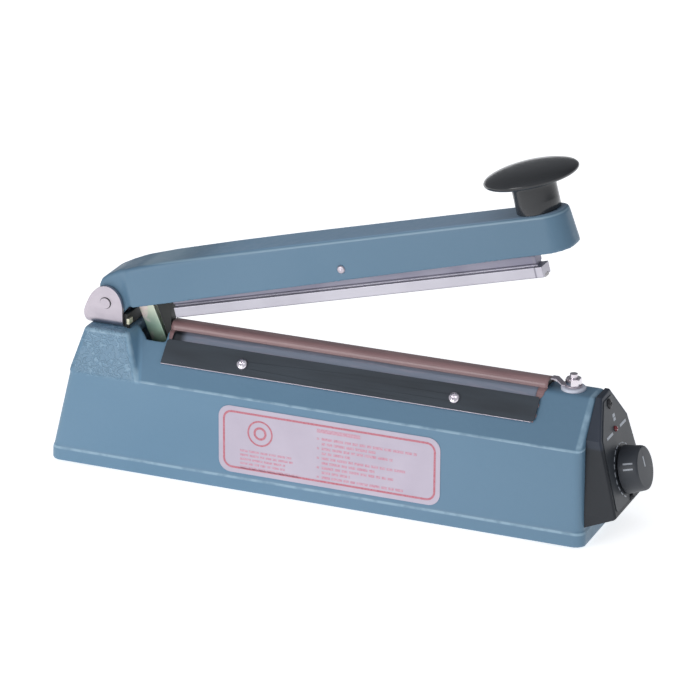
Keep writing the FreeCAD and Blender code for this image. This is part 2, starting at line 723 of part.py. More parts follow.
def return_spring():
    top = arm_point(SPRING_SEAT_X, SPRING_SEAT_Z)[1] - 0.6
    low = SPRING_Z0 + SPRING_WIRE_R + 0.05
    height = top - SPRING_WIRE_R - low
    helix = Part.makeHelix(height / SPRING_TURNS, height, SPRING_R)
    circle = Part.Wire([Part.Circle(V(SPRING_R, 0, 0), V(0, 1, 0), SPRING_WIRE_R).toShape()])
    spring = Part.Wire(helix.Edges).makePipeShell([circle], True, True)
    spring.translate(V(SPRING_X, 0, low))
    return spring


def arm_point(xa, za):
    """World X and Z of a point in the arm frame, with the arm at rest."""
    a = math.radians(ARM_OPEN)
    return (HINGE_X + xa * math.cos(a) - za * math.sin(a),
            HINGE_Z + xa * math.sin(a) + za * math.cos(a))


# ================================================================ arm
def arm_half(f):
    """Half width of the arm body at its lower edge, f from the shoulder (0) to the nose (1)."""
    return 15.0 - 1.6 * f


def plan_wire(inset, z, shrink):
    """Plan outline of neck, shoulders, sides and rounded nose at one height."""
    neck = ARM_NECK_HALF - inset - shrink * 0.3
    rear = ARM_NECK_REAR + inset
    back = ARM_SHOULDER + inset
    side0 = arm_half(0.0) - inset - shrink
    side1 = arm_half(1.0) - inset - shrink
    nose = ARM_NOSE - inset - shrink * 0.8
    r = NOSE_R - inset * 0.6 - shrink * 0.75
    diag = r * (1 - math.cos(math.radians(45)))

    def half(sign):
        return [V(rear, sign * neck, z), V(back - 5.0, sign * neck, z), V(back, sign * side0, z),
                V(nose - r, sign * side1, z), V(nose - diag, sign * (side1 - diag), z),
                V(nose, sign * (side1 - r), z)]
    a, b = half(-1), half(1)
    edges = [Part.makeLine(a[0], a[1]), Part.makeLine(a[1], a[2]), Part.makeLine(a[2], a[3]),
             Part.Arc(a[3], a[4], a[5]).toShape(), Part.makeLine(a[5], b[5]),
             Part.Arc(b[5], b[4], b[3]).toShape(), Part.makeLine(b[3], b[2]),
             Part.makeLine(b[2], b[1]), Part.makeLine(b[1], b[0]), Part.makeLine(b[0], a[0])]
    return Part.Wire(edges)


ARM_BACK = [(ARM_NECK_REAR - 1, 8.0), (-2.6, 9.8), (-0.7, 12.2), (3.0, 13.8), (10.0, 15.4),
            (20.0, 16.4), (36.0, 17.3), (70.0, 18.0), (105.0, ARM_TOP)]


def arm_side(drop, floor_drop):
    """Side view of the arm: lower edge, nose, and the curved back, lowered by drop."""
    low = [(ARM_NECK_REAR - 1, -8.0), (6.0, -8.0), (ARM_SHOULDER - 4, ARM_BOTTOM_REAR),
           (ARM_NOSE + 1, ARM_BOTTOM_FRONT + 0.1)]
    low = [(x, z - floor_drop) for x, z in low]
    high = [(ARM_NOSE + 1, ARM_TOP)] + ARM_BACK[::-1]
    high = [(x, z - drop) for x, z in high]
    return low + high


def arm_solid(inset, drop, floor_drop):
    body = Part.makeLoft([plan_wire(inset, ARM_BOTTOM_REAR - DRAFT_LOW / ARM_DRAFT, -DRAFT_LOW),
                          plan_wire(inset, ARM_BOTTOM_REAR + DRAFT_HIGH / ARM_DRAFT, DRAFT_HIGH)],
                         True, True)
    return body.common(prism_xz(arm_side(drop, floor_drop), -30, 30))


def arm_casting():
    outer = arm_solid(0.0, 0.0, 0.0)

    def back_edge(edge):
        ends = edge_ends(edge)
        if len(ends) < 2:
            return False
        a, b = ends[0], ends[-1]
        return a.z > 5 and b.z > 5 and abs(a.y) > 5 and abs(b.y) > 5 and abs(a.y - b.y) < 8
    outer = rounded(outer, 2.0, back_edge)
    inner = arm_solid(ARM_WALL, ARM_ROOF, 12.0)
    inner = inner.common(box(ARM_NECK_REAR + ARM_WALL, 300, -30, 30, -40, 40))
    shell = outer.cut(inner)
    barrel = cylinder((0, -ARM_NECK_HALF + 0.2, 0), (0, 1, 0), BARREL_R, 2 * ARM_NECK_HALF - 0.4)
    seat = cylinder((SPRING_SEAT_X, 0, SPRING_SEAT_Z), (0, 0, 1), SPRING_SEAT_R, 14)
    lever_boss = box(LEVER_X0 - 0.4, LEVER_X1 + 2.0, -4.0, 4.0, LEVER_HIGH, 14.5)
    knob_boss = cylinder((KNOB_X, 0, 9.0), (0, 0, 1), 6.5, 8.0)
    shell = fused([shell, barrel, seat.common(outer), lever_boss.common(outer), knob_boss])
    shell = shell.cut(cylinder((0, -20, 0), (0, 1, 0), PIN_BORE_R, 40))
    shell = shell.cut(cylinder((RIVET_X, -20, RIVET_Z), (0, 1, 0), RIVET_R, 40))
    for side in (-1, 1):
        shell = shell.cut(cylinder((RIVET_X, side * RIVET_REACH, RIVET_Z), (0, side, 0),
                                   RIVET_HEAD_R + 0.05, 5))
    shell = shell.cut(cylinder((KNOB_X, 0, 0), (0, 0, 1), STUD_R, 30))
    shell = shell.cut(cylinder((LEVER_SCREW_X, 0, 0), (0, 0, 1), SCREW_R, 13.0))
    return in_arm(shell)


def lever_lean(z):
    return LEVER_LEAN * max(LEVER_BEND_Z - z, 0.0)


def arm_lever():
    """Plated channel that hangs from the arm through the slot in the base."""
    x0, x1, half, t = LEVER_X0, LEVER_X1, LEVER_HALF, LEVER_T
    low, bend, high = LEVER_LOW, LEVER_BEND_Z, LEVER_HIGH
    knee = low + LEVER_TAB + 3.0
    foot_x1 = x1 + lever_lean(low)
    side = [(x0, high), (x1, high), (x1, bend), (foot_x1, low), (x0, low), (x0, low + LEVER_TAB),
            (x0 + lever_lean(knee), knee), (x0, bend)]
    near = prism_xz(side, -half, -half + t)
    web = prism_xz([(x1 - t, high), (x1, high), (x1, bend), (foot_x1, low), (foot_x1 - t, low),
                    (x1 - t, bend)], -half, half)
    cap = box(x0, x1, -half, half, high - t, high)
    switch_tab = box(x0, x0 + t, -half, half, low, low + LEVER_TAB)
    lever = fused([web, near, mirrored(near), cap, switch_tab])
    lever = lever.cut(cylinder((LEVER_SCREW_X, 0, 0), (0, 0, 1), SCREW_R + 0.2, 13.0))
    return in_arm(lever)


def lever_screw():
    screw = pan_screw((LEVER_SCREW_X, 0, LEVER_HIGH - LEVER_T), (0, 0, -1), 2.1, 1.5, SCREW_R, 5.6)
    return in_arm(screw)


def knob_profile():
    return [(0, 0), (KNOB_STEM_R, 0), (KNOB_STEM_R, 11.6), (12.0, 13.0), (14.5, 13.9), (19.0, 14.4),
            (22.6, 14.9), (24.0, 15.8), (KNOB_DISC_R, 17.2), (24.1, 18.6), (22.6, 19.9), (19.0, 21.4),
            (13.0, 22.9), (6.5, 23.7), (0, 24.0)]


def press_knob():
    knob = revolved(knob_profile(), (KNOB_X, 0, ARM_TOP), (0, 0, 1))
    knob = knob.cut(cylinder((KNOB_X, 0, ARM_TOP - 1), (0, 0, 1), STUD_R + 0.04, 10))
    return in_arm(knob)


def knob_stud():
    stud = cylinder((KNOB_X, 0, 7.0), (0, 0, 1), STUD_R, ARM_TOP + 8.8 - 7.0)
    head = hexagon_nut((KNOB_X, 0, 6.0), (0, 0, 1), 10.0, 3.0, 0.01)
    return in_arm(fused([stud, cylinder((KNOB_X, 0, 6.0), (0, 0, 1), 5.0, 3.0).common(head)]))


def bar_rivet():
    pin = cylinder((RIVET_X, -RIVET_REACH, RIVET_Z), (0, 1, 0), RIVET_R, 2 * RIVET_REACH)
    near = revolved([(0, 0), (RIVET_HEAD_R, 0), (RIVET_HEAD_R, 0.2), (RIVET_HEAD_R - 0.4, 0.7), (0, 1.0)],
                    (RIVET_X, -RIVET_REACH, RIVET_Z), (0, -1, 0))
    return in_arm(fused([pin, near, mirrored(near)]))


# ================================================================ pressure bar
def pressure_bar():
    b = BAR_BOTTOM
    half = [(4.6, b), (5.0, b + 0.5), (5.0, b + 5.4), (4.6, b + 5.8), (2.8, b + 5.8), (2.8, b + 6.9),
            (3.9, b + 7.3), (3.9, b + 11.2), (3.5, b + 11.7)]
    outline = half + [(-y, z) for y, z in half[::-1]]
    bar = prism_yz(outline, BAR_X0, BAR_X1)
    groove = box(BAR_X0 - 1, BAR_X1 + 1, -2.2, 2.2, b - 1, b + 1.2)
    bar = bar.cut(groove)
    rail = box(BAR_RAIL_X0, BAR_X1, -1.6, 1.6, b + 11, b + 13.4)
    lug = box(RIVET_X - 7, RIVET_X + 7, -3.2, 3.2, b + 11, RIVET_Z + 4.2)
    bar = fused([bar, rail, lug])
    bar = bar.cut(box(BAR_WEB_X1, BAR_X1 + 1, -6, 6, b + 5.8, b + 15))
    bar = bar.cut(cylinder((RIVET_X, -10, RIVET_Z), (0, 1, 0), RIVET_BORE_R, 20))
    return in_arm(bar)


def silicone_strip():
    b = BAR_BOTTOM
    return in_arm(box(BAR_X0, BAR_X1, -2.2, 2.2, b - STRIP_PROUD, b + 1.2))


# ================================================================ timer end
def cover_solid(inset):
    tilt = math.radians(FACE_TILT)
    slide = inset / math.cos(tilt)
    foot = (FACE_FOOT[0] - slide, FACE_FOOT[1])
    head = (FACE_HEAD[0] - slide, FACE_HEAD[1])
    back = 120.0
    wall_foot_x = WALL_X1 + (CREASE_X1 - WALL_X1) * (COVER_BACK_Z - LIFT) / (CREASE_Z - LIFT)
    rise = (FACE_FOOT[1] - COVER_BACK_Z) / (FACE_FOOT[0] - wall_foot_x)
    low_back_z = FACE_FOOT[1] - rise * (FACE_FOOT[0] - back) + inset * math.hypot(1, rise)
    low_front_z = FACE_FOOT[1] + inset * math.hypot(1, rise)
    side = [(back, low_back_z), (foot[0], low_front_z), (head[0], head[1] - inset),
            (back, head[1] - inset)]
    body = prism_xz(side, -40, 40)
    beyond = 4.0
    narrowing = (COVER_CREASE_HALF - COVER_HEAD_HALF) / (FACE_HEAD[1] - COVER_CREASE_Z)
    half = [(COVER_FOOT_HALF - inset, 0.0), (COVER_FOOT_HALF - inset, FACE_FOOT[1]),
            (COVER_CREASE_HALF - inset, COVER_CREASE_Z - inset * 0.3),
            (COVER_HEAD_HALF - narrowing * beyond - inset * 0.6, FACE_HEAD[1] + beyond)]
    outline = half + [(-y, z) for y, z in half[::-1]]
    return body.common(prism_yz(outline, 110, 160))


def behind_wall():
    """Everything on the casting's side of its front end wall."""
    drop = (CREASE_X1 - WALL_X1) / (CREASE_Z - LIFT)
    low_x = WALL_X1 + drop * (0.0 - LIFT)
    return prism_xz([(60, 0), (low_x, 0), (CREASE_X1, CREASE_Z), (CREASE_X1, 90), (60, 90)], -60, 60)


def timer_cover():
    outer = cover_solid(0.0)
    outer = outer.cut(behind_wall())

    def front_edges(edge):
        ends = edge_ends(edge)
        if len(ends) < 2:
            return False
        tilt = math.radians(FACE_TILT)
        out = [(p.x - DIAL_X) * math.cos(tilt) + (p.z - DIAL_Z) * math.sin(tilt) for p in ends]
        return all(abs(distance) < 0.05 for distance in out)
    outer = rounded(outer, 1.2, front_edges)
    shell = outer.cut(cover_solid(COVER_T))
    holes = [(0.0, BUSH_R), (LAMP_UP, LAMP_R)]
    holes += [(up, shank_r + 0.2) for up, _, shank_r, _ in COVER_SCREWS]
    for up, radius in holes:
        shell = shell.cut(on_face(cylinder((-20.0, 0, up), (1, 0, 0), radius, 30)))
    return shell


def dial_outline(inset):
    crease_up = (COVER_CREASE_Z - DIAL_Z) / math.cos(math.radians(FACE_TILT))
    head_up = FACE_LENGTH - DIAL_UP
    return [(COVER_FOOT_HALF - inset, -DIAL_UP + inset), (COVER_CREASE_HALF - inset, crease_up - 0.4),
            (COVER_HEAD_HALF - inset * 0.4, head_up - inset), (-COVER_HEAD_HALF + inset * 0.4, head_up - inset),
            (-COVER_CREASE_HALF + inset, crease_up - 0.4), (-COVER_FOOT_HALF + inset, -DIAL_UP + inset)]


def dial_plate():
    points = [V(0.02, y, up) for y, up in dial_outline(2.6)]
    plate = Part.Face(Part.makePolygon(points + [points[0]])).extrude(V(DIAL_PLATE_T, 0, 0))

    def corner(edge):
        a, b = edge_ends(edge)
        return abs(a.x - b.x) > 0.2
    plate = rounded(plate, 2.0, corner)
    plate.translate(V(-0.02, 0, 0))
    holes = [(0.0, BUSH_R + 0.05), (LAMP_UP, LAMP_R)]
    holes += [(up, head_r + 0.2) for up, head_r, _, _ in COVER_SCREWS]
    for up, radius in holes:
        plate = plate.cut(cylinder((-5, 0, up), (1, 0, 0), radius, 10))
    return on_face(plate)


def cover_screws():
    return Part.makeCompound([on_face(pan_screw((0, 0, up), (1, 0, 0), head_r, 1.5, shank_r, length))
                              for up, head_r, shank_r, length in COVER_SCREWS])


def indicator_lamp():
    lamp = revolved([(0, -5.0), (LAMP_R, -5.0), (LAMP_R, 0.9), (LAMP_R * 0.7, 1.5), (0, 1.8)],
                    (0, 0, LAMP_UP), (1, 0, 0))
    return on_face(lamp)


def potentiometer():
    body = revolved([(SHAFT_R + 0.05, -COVER_T - 6.5), (8.2, -COVER_T - 6.5), (8.2, -COVER_T),
                     (BUSH_R, -COVER_T), (BUSH_R, 3.2), (SHAFT_R + 0.05, 3.2)], (0, 0, 0), (1, 0, 0))
    tags = box(-COVER_T - 5.5, -COVER_T - 4.7, -4, 4, -11.5, -7.9)
    return on_face(fused([body, tags]))


def potentiometer_nut():
    return on_face(hexagon_nut((DIAL_PLATE_T, 0, 0), (1, 0, 0), 10.0, 2.2, BUSH_R))


def timer_shaft():
    return on_face(cylinder((-COVER_T - 6.0, 0, 0), (1, 0, 0), SHAFT_R, COVER_T + 6.0 + 8.4))


def timer_knob():
    x0 = DIAL_PLATE_T + TIMER_GAP
    x1 = x0 + TIMER_LENGTH
    profile = [(0, x1), (0, x0), (TIMER_R0 - 0.5, x0), (TIMER_R0, x0 + 0.5), (TIMER_R1, x1 - 1.2),
               (TIMER_R1 - 0.35, x1 - 0.35), (TIMER_R1 - 1.2, x1)]
    knob = revolved(profile, (0, 0, 0), (1, 0, 0))
    knob = knob.cut(cylinder((x0 - 1, 0, 0), (1, 0, 0), 6.6, 3.6))
    knob = knob.cut(cylinder((x0 - 1, 0, 0), (1, 0, 0), SHAFT_R, 8.4 - x0 + 1))
    knob = knob.cut(box(x1 - 0.5, x1 + 1, -0.55, 0.55, 1.5, TIMER_R1 + 1))
    return on_face(knob)


# ================================================================ inside the base
def transformer_core():
    core = box(-60.0, -3.0, -13.0, 13.0, PLATE_Z1 + 1.5, PLATE_Z1 + 49.0)
    window = box(-50.0, -13.0, -14.0, 14.0, PLATE_Z1 + 11.0, PLATE_Z1 + 39.5)
    leg = box(-39.0, -24.0, -13.0, 13.0, PLATE_Z1 + 11.0, PLATE_Z1 + 39.5)
    return core.cut(window).fuse(leg).removeSplitter()


def transformer_coil():
    coil = box(-49.0, -14.0, -18.5, 18.5, PLATE_Z1 + 12.0, PLATE_Z1 + 38.5)

    def upright(edge):
        a, b = edge_ends(edge)
        return abs(a.z - b.z) > 10
    coil = rounded(coil, 4.0, upright)
    return coil.cut(box(-39.05, -23.95, -13.05, 13.05, PLATE_Z1 + 5, PLATE_Z1 + 45))


def transformer_bracket():
    z = PLATE_Z1
    base = box(-72.0, 9.0, -12.0, 12.0, z, z + 1.4)
    rear = box(-61.5, -60.05, -12.0, 12.0, z, z + 30.0)
    front = box(-2.95, -1.5, -12.0, 12.0, z, z + 30.0)
    return fused([base, rear, front])


def timer_board():
    return box(96.0, 97.6, -17.0, 17.0, PLATE_Z1 + 3.0, PLATE_Z1 + 42.0)


def board_bracket():
    z = PLATE_Z1
    foot = box(80.0, 99.2, -9.0, 9.0, z, z + 1.2)
    wall = box(97.65, 99.2, -9.0, 9.0, z, z + 16.0)
    return fused([foot, wall])


def board_parts():
    relay = box(80.0, 95.95, -15.0, -2.0, PLATE_Z1 + 12.0, PLATE_Z1 + 30.0)
    can = cylinder((95.95, 8.0, PLATE_Z1 + 30.0), (-1, 0, 0), 5.0, 12.0)
    small = cylinder((95.95, 9.0, PLATE_Z1 + 14.0), (-1, 0, 0), 3.2, 9.0)
    chip = box(92.5, 95.95, -12.0, -4.0, PLATE_Z1 + 33.0, PLATE_Z1 + 38.0)
    return Part.makeCompound([relay, can, small, chip])


SWITCH_X0, SWITCH_X1 = -138.6, -120.4
SWITCH_Z0, SWITCH_Z1 = 37.4, 48.0
SWITCH_HALF = 3.3
PLUNGER_Z = 44.4
PLUNGER_R = 1.2
PLUNGER_TIP = -117.6
SWITCH_SCREWS = [-134.5, -125.0]


def switch_body():
    body = box(SWITCH_X0, SWITCH_X1, -SWITCH_HALF, SWITCH_HALF, SWITCH_Z0, SWITCH_Z1)
    body = body.cut(cylinder((SWITCH_X1 - 6.0, 0, PLUNGER_Z), (1, 0, 0), PLUNGER_R + 0.08, 8.0))
    for x in SWITCH_SCREWS:
        body = body.cut(cylinder((x, -5, SWITCH_Z0 + 3.0), (0, 1, 0), 1.3, 12))
    return body


def switch_plunger():
    start = SWITCH_X1 - 3.6
    return revolved([(0, 0), (PLUNGER_R, 0), (PLUNGER_R, PLUNGER_TIP - start - 0.5),
                     (PLUNGER_R * 0.5, PLUNGER_TIP - start), (0, PLUNGER_TIP - start)],
                    (start, 0, PLUNGER_Z), (1, 0, 0))


def switch_bracket():
    z = PLATE_Z1
    wall = box(SWITCH_X0, SWITCH_X1 + 1.0, SWITCH_HALF + 0.02, SWITCH_HALF + 1.5, z, SWITCH_Z1 - 1.0)
    foot = box(SWITCH_X0, SWITCH_X1 + 1.0, SWITCH_HALF + 0.02, SWITCH_HALF + 8.5, z, z + 1.4)
    bracket = fused([wall, foot])
    for x in SWITCH_SCREWS:
        bracket = bracket.cut(cylinder((x, -5, SWITCH_Z0 + 3.0), (0, 1, 0), 1.3, 30))
    return bracket


def switch_screws():
    return Part.makeCompound([pan_screw((x, -SWITCH_HALF, SWITCH_Z0 + 3.0), (0, -1, 0), 2.2, 1.4, 1.3,
                                        2 * SWITCH_HALF + 1.5) for x in SWITCH_SCREWS])


# ================================================================ side label
LABEL_X0, LABEL_X1 = -63.4, 57.6
LABEL_Z0, LABEL_Z1 = 11.2, 47.4
LABEL_R = 6.5
LABEL_T = 0.3


def side_label():
    label = box(LABEL_X0, LABEL_X1, -LABEL_T, 0, LABEL_Z0 - LIFT, LABEL_Z1 - LIFT)

    def corner(edge):
        a, b = edge_ends(edge)
        return abs(a.y - b.y) > 0.1
    label = rounded(label, LABEL_R, corner)
    lean = math.degrees(math.atan2(WALL_HALF - CREASE_HALF, CREASE_Z - LIFT))
    label.rotate(V(0, 0, 0), V(1, 0, 0), -lean)
    label.translate(V(0, -WALL_HALF, LIFT))
    return label


# ================================================================ write everything
PARTS = [
    ("base_casting", base_casting), ("bottom_plate", bottom_plate), ("rubber_feet", rubber_feet),
    ("foot_screws", foot_screws), ("cord_grommet", cord_grommet), ("hinge_bracket", hinge_bracket),
    ("bracket_screws", bracket_screws), ("hinge_pin", hinge_pin), ("hinge_pin_clip", pin_clip),
    ("seal_bed", seal_bed), ("edge_sheets", edge_sheets), ("heating_element", heating_element),
    ("release_cloth", release_cloth), ("clamp_plate_near", clamp_plate_near),
    ("clamp_plate_far", clamp_plate_far), ("clamp_screws", clamp_screws),
    ("terminal_washer", terminal_washer), ("terminal_lug", terminal_lug),
    ("terminal_nut", terminal_nut), ("terminal_stud", terminal_stud),
    ("rear_terminal_block", rear_block), ("return_spring", return_spring),
    ("hinge_guard", hinge_guard), ("guard_tab", guard_tab),
    ("arm_casting", arm_casting), ("arm_lever", arm_lever), ("lever_screw", lever_screw),
    ("press_knob", press_knob), ("knob_stud", knob_stud), ("bar_rivet", bar_rivet),
    ("pressure_bar", pressure_bar), ("silicone_strip", silicone_strip),
    ("timer_cover", timer_cover), ("dial_plate", dial_plate), ("cover_screws", cover_screws),
    ("indicator_lamp", indicator_lamp), ("potentiometer", potentiometer),
    ("potentiometer_nut", potentiometer_nut), ("timer_shaft", timer_shaft),
    ("timer_knob", timer_knob), ("transformer_core", transformer_core),
    ("transformer_coil", transformer_coil), ("transformer_bracket", transformer_bracket),
    ("timer_board", timer_board), ("board_parts", board_parts), ("board_bracket", board_bracket),
    ("switch_body", switch_body), ("switch_plunger", switch_plunger),
    ("switch_bracket", switch_bracket), ("switch_screws", switch_screws),
    ("side_label", side_label),
]

for part_name, make in PARTS:
    save(part_name, make())
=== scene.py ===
"""Looks of the impulse heat sealer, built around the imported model.

Everything is in metres in the model's own frame: X runs from the hinge end to the
timer knob, the labelled side faces -Y and Z is up.  Sizes that are easier to read
in millimetres are written in millimetres and multiplied by MM.
"""
import json
import math
import random

import bmesh
import bpy
from mathutils import Matrix, Vector


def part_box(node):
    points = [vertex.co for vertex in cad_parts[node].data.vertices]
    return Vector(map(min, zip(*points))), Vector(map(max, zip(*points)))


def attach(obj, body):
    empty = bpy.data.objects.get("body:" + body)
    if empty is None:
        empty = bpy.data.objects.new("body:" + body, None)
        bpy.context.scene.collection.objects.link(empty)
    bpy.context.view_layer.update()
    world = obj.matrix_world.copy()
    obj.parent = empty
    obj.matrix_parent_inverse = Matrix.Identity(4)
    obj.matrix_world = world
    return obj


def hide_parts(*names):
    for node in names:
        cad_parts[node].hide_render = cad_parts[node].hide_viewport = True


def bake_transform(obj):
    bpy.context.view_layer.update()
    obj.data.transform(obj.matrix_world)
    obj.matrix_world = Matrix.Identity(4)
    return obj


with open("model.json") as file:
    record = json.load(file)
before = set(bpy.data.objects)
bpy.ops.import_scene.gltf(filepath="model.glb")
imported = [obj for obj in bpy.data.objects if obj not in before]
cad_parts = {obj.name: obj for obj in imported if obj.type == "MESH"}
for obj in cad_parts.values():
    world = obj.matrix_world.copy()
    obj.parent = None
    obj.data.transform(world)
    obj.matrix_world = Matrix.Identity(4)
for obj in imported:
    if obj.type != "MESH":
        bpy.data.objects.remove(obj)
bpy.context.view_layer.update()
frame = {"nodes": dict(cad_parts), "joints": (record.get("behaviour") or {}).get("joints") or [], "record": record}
MM = 0.001
NODES = frame["nodes"]
JOINTS = {joint["name"]: joint for joint in frame["joints"]}

# ---------------------------------------------------------------- places taken from the frame
ARM_OPEN = math.radians(14.4)          # the arm's tilt at rest
HINGE = Vector(JOINTS["arm_lift"]["pos_m"])
DIAL = Vector(JOINTS["timer_turn"]["pos_m"])
DIAL_AXIS = Vector(JOINTS["timer_turn"]["axis"]).normalized()
FACE_TILT = math.atan2(DIAL_AXIS.z, DIAL_AXIS.x)
ARM_FRAME = Matrix.Translation(HINGE) @ Matrix.Rotation(-ARM_OPEN, 4, "Y")
FACE_FRAME = Matrix.Translation(DIAL) @ Matrix.Rotation(-FACE_TILT, 4, "Y")

BAR_GROOVE_Z = -0.0088                 # in the arm's frame: the groove under the bar's web
BAR_SEAM_X = 0.2349                    # and the joint of its end piece

# ---------------------------------------------------------------- camera
CAMERA_AZIMUTH = math.radians(22.8)
CAMERA_ELEVATION = math.radians(21.7)
CAMERA_DISTANCE = 1.9686
CAMERA_LENS = 200.6
SENSOR = 36.0


def add_camera():
    """Camera at the photograph's angle, distance and lens."""
    data = bpy.data.cameras.new("camera")
    data.lens = CAMERA_LENS
    data.sensor_width = SENSOR
    data.clip_start = 0.05
    data.clip_end = 30.0
    camera = bpy.data.objects.new("camera", data)
    bpy.context.scene.collection.objects.link(camera)
    back = Vector((math.sin(CAMERA_AZIMUTH) * math.cos(CAMERA_ELEVATION),
                   -math.cos(CAMERA_AZIMUTH) * math.cos(CAMERA_ELEVATION),
                   math.sin(CAMERA_ELEVATION)))
    target = Vector((-2.75, 0.0, 75.8)) * MM
    camera.location = target + back * CAMERA_DISTANCE
    camera.rotation_euler = (-back).to_track_quat("-Z", "Y").to_euler()
    bpy.context.scene.camera = camera


# ---------------------------------------------------------------- shader building blocks
class Shader:
    """One material's node tree, with a short call for each kind of node."""

    def __init__(self, name):
        self.material = bpy.data.materials.new(name)
        self.material.use_nodes = True
        self.tree = self.material.node_tree
        self.tree.nodes.clear()
        self.surface = self.add("ShaderNodeBsdfPrincipled")
        output = self.add("ShaderNodeOutputMaterial")
        self.link(self.surface.outputs["BSDF"], output.inputs["Surface"])
        self.place = self.add("ShaderNodeTexCoord").outputs["Object"]

    def add(self, kind, **settings):
        node = self.tree.nodes.new(kind)
        for key, value in settings.items():
            setattr(node, key, value)
        return node

    def link(self, source, target):
        self.tree.links.new(source, target)

    def feed(self, socket, value):
        """Links a socket, or sets a plain value or colour on it."""
        if hasattr(value, "is_output"):
            self.link(value, socket)
        elif hasattr(value, "__len__") and len(value) == 3 and socket.type == "RGBA":
            socket.default_value = (*value, 1.0)
        else:
            socket.default_value = value

    def set(self, **values):
        """Sets the surface shader's sockets by name, with _ for a space."""
        for key, value in values.items():
            self.feed(self.surface.inputs[key.replace("_", " ")], value)

    def mapped(self, stretch):
        """Coordinates scaled along each axis, for streaks and drawing lines."""
        node = self.add("ShaderNodeMapping")
        node.inputs["Scale"].default_value = stretch
        self.link(self.place, node.inputs["Vector"])
        return node.outputs["Vector"]

    def arm_place(self):
        """Coordinates in the arm's own frame: X along it from the hinge, Z away from the base."""
        moved = self.add("ShaderNodeVectorMath", operation="SUBTRACT")
        self.link(self.place, moved.inputs[0])
        moved.inputs[1].default_value = HINGE
        turned = self.add("ShaderNodeVectorRotate", rotation_type="Y_AXIS")
        self.link(moved.outputs["Vector"], turned.inputs["Vector"])
        turned.inputs["Angle"].default_value = ARM_OPEN
        return turned.outputs["Vector"]

    def noise(self, scale, detail, rough=0.5, where=None, distortion=0.0):
        node = self.add("ShaderNodeTexNoise")
        node.inputs["Scale"].default_value = scale
        node.inputs["Detail"].default_value = detail
        node.inputs["Roughness"].default_value = rough
        node.inputs["Distortion"].default_value = distortion
        self.link(where or self.place, node.inputs["Vector"])
        return node.outputs["Fac"]

    def cells(self, scale, feature, smoothness=None):
        node = self.add("ShaderNodeTexVoronoi", feature=feature)
        node.inputs["Scale"].default_value = scale
        if smoothness is not None:
            node.inputs["Smoothness"].default_value = smoothness
        self.link(self.place, node.inputs["Vector"])
        return node.outputs["Distance"]

    def wave(self, scale, axis, distortion=0.0):
        node = self.add("ShaderNodeTexWave", bands_direction=axis)
        node.inputs["Scale"].default_value = scale
        node.inputs["Distortion"].default_value = distortion
        self.link(self.place, node.inputs["Vector"])
        return node.outputs["Fac"]

    def axis(self, letter, where=None):
        node = self.add("ShaderNodeSeparateXYZ")
        self.link(where or self.place, node.inputs["Vector"])
        return node.outputs[letter]

    def span(self, value, low, high, to_low=0.0, to_high=1.0, smooth=False):
        """Maps low...high to to_low...to_high, and holds the end values outside."""
        node = self.add("ShaderNodeMapRange", clamp=True)
        if smooth:
            node.interpolation_type = "SMOOTHSTEP"
        self.feed(node.inputs["Value"], value)
        node.inputs["From Min"].default_value = low
        node.inputs["From Max"].default_value = high
        node.inputs["To Min"].default_value = to_low
        node.inputs["To Max"].default_value = to_high
        return node.outputs["Result"]

    def math(self, operation, a, b=0.0):
        node = self.add("ShaderNodeMath", operation=operation)
        self.feed(node.inputs[0], a)
        self.feed(node.inputs[1], b)
        return node.outputs["Value"]

    def mix(self, a, b, share):
        """Colour between a (share 0) and b (share 1)."""
        node = self.add("ShaderNodeMix", data_type="RGBA")
        self.feed(node.inputs["Factor"], share)
        self.feed(node.inputs["A"], (*a, 1.0) if isinstance(a, tuple) else a)
        self.feed(node.inputs["B"], (*b, 1.0) if isinstance(b, tuple) else b)
        return node.outputs["Result"]

    def bump(self, height, depth, strength, under=None):
        """Bump of the given depth in metres, on top of an earlier bump."""
        node = self.add("ShaderNodeBump")
        node.inputs["Strength"].default_value = strength
        node.inputs["Distance"].default_value = depth
        self.link(height, node.inputs["Height"])
        if under is not None:
            self.link(under, node.inputs["Normal"])
        return node.outputs["Normal"]


# ---------------------------------------------------------------- materials
PAINT_LOW, PAINT_HIGH = (0.116, 0.222, 0.322), (0.132, 0.240, 0.342)
PAINT_END_SHADE = (0.104, 0.190, 0.270)      # painted shade towards the timer end
WRINKLE_HIGHLIGHT = (0.235, 0.370, 0.480)    # painted highlight on the wrinkles' ridges
EDGE_HIGHLIGHT = (0.300, 0.440, 0.540)     # painted highlight along the edges
PAINT_FACE_LIT = (0.150, 0.280, 0.400)     # painted light on the pedestal's face towards the bed
# painted reflection on the arm's top: bluer near the hinge, greyer and more purple towards the knob
ARM_TOP_REFLECTION = (0.195, 0.340, 0.480), (0.235, 0.340, 0.455)
ARM_SHADE = 0.84                       # the arm's sides against the base's walls
WORM_SCALE, PEBBLE_SCALE, GRAIN_SCALE = 360, 420, 1500

# Where the paint and the painted light and shade change on the base and what stands on it, in metres.
PEDESTAL_TOP_Z = 0.0745
BROW_Z = 0.0735                        # the rounded edge round the pedestal's top, with a painted highlight
CREASE_Z = 0.0520                      # the painted highlight line where the walls turn into the slopes
SKIRT_Z = 0.0085                       # the top of the foot's step, with a painted highlight line
RIDGE_END_X = 0.1292                   # the slanted edge at the timer end, with a painted highlight
TAB_LEG_Z = 0.0764                     # painted shade: the guard tab is painted black below here
COVER_FACET_Z = 0.0515                 # the timer cover's slanted facets begin here, painted lighter above as lit
SHEET_DARK_X = -0.0935                 # painted shade: the grey sheets are dark on the hinge's side of here
FACE_X, FACE_SLOPE = -0.1176, 0.366    # the pedestal's face: its place at the top, and its lean
SIDE_Y, SIDE_SLOPE = 0.0200, 0.322     # the pedestal's sides, likewise
# The same for the arm, in its own frame.
ARM_RIM_Z = 0.0171                     # the painted highlight along its upper edge
ARM_TOP_Z = 0.0176


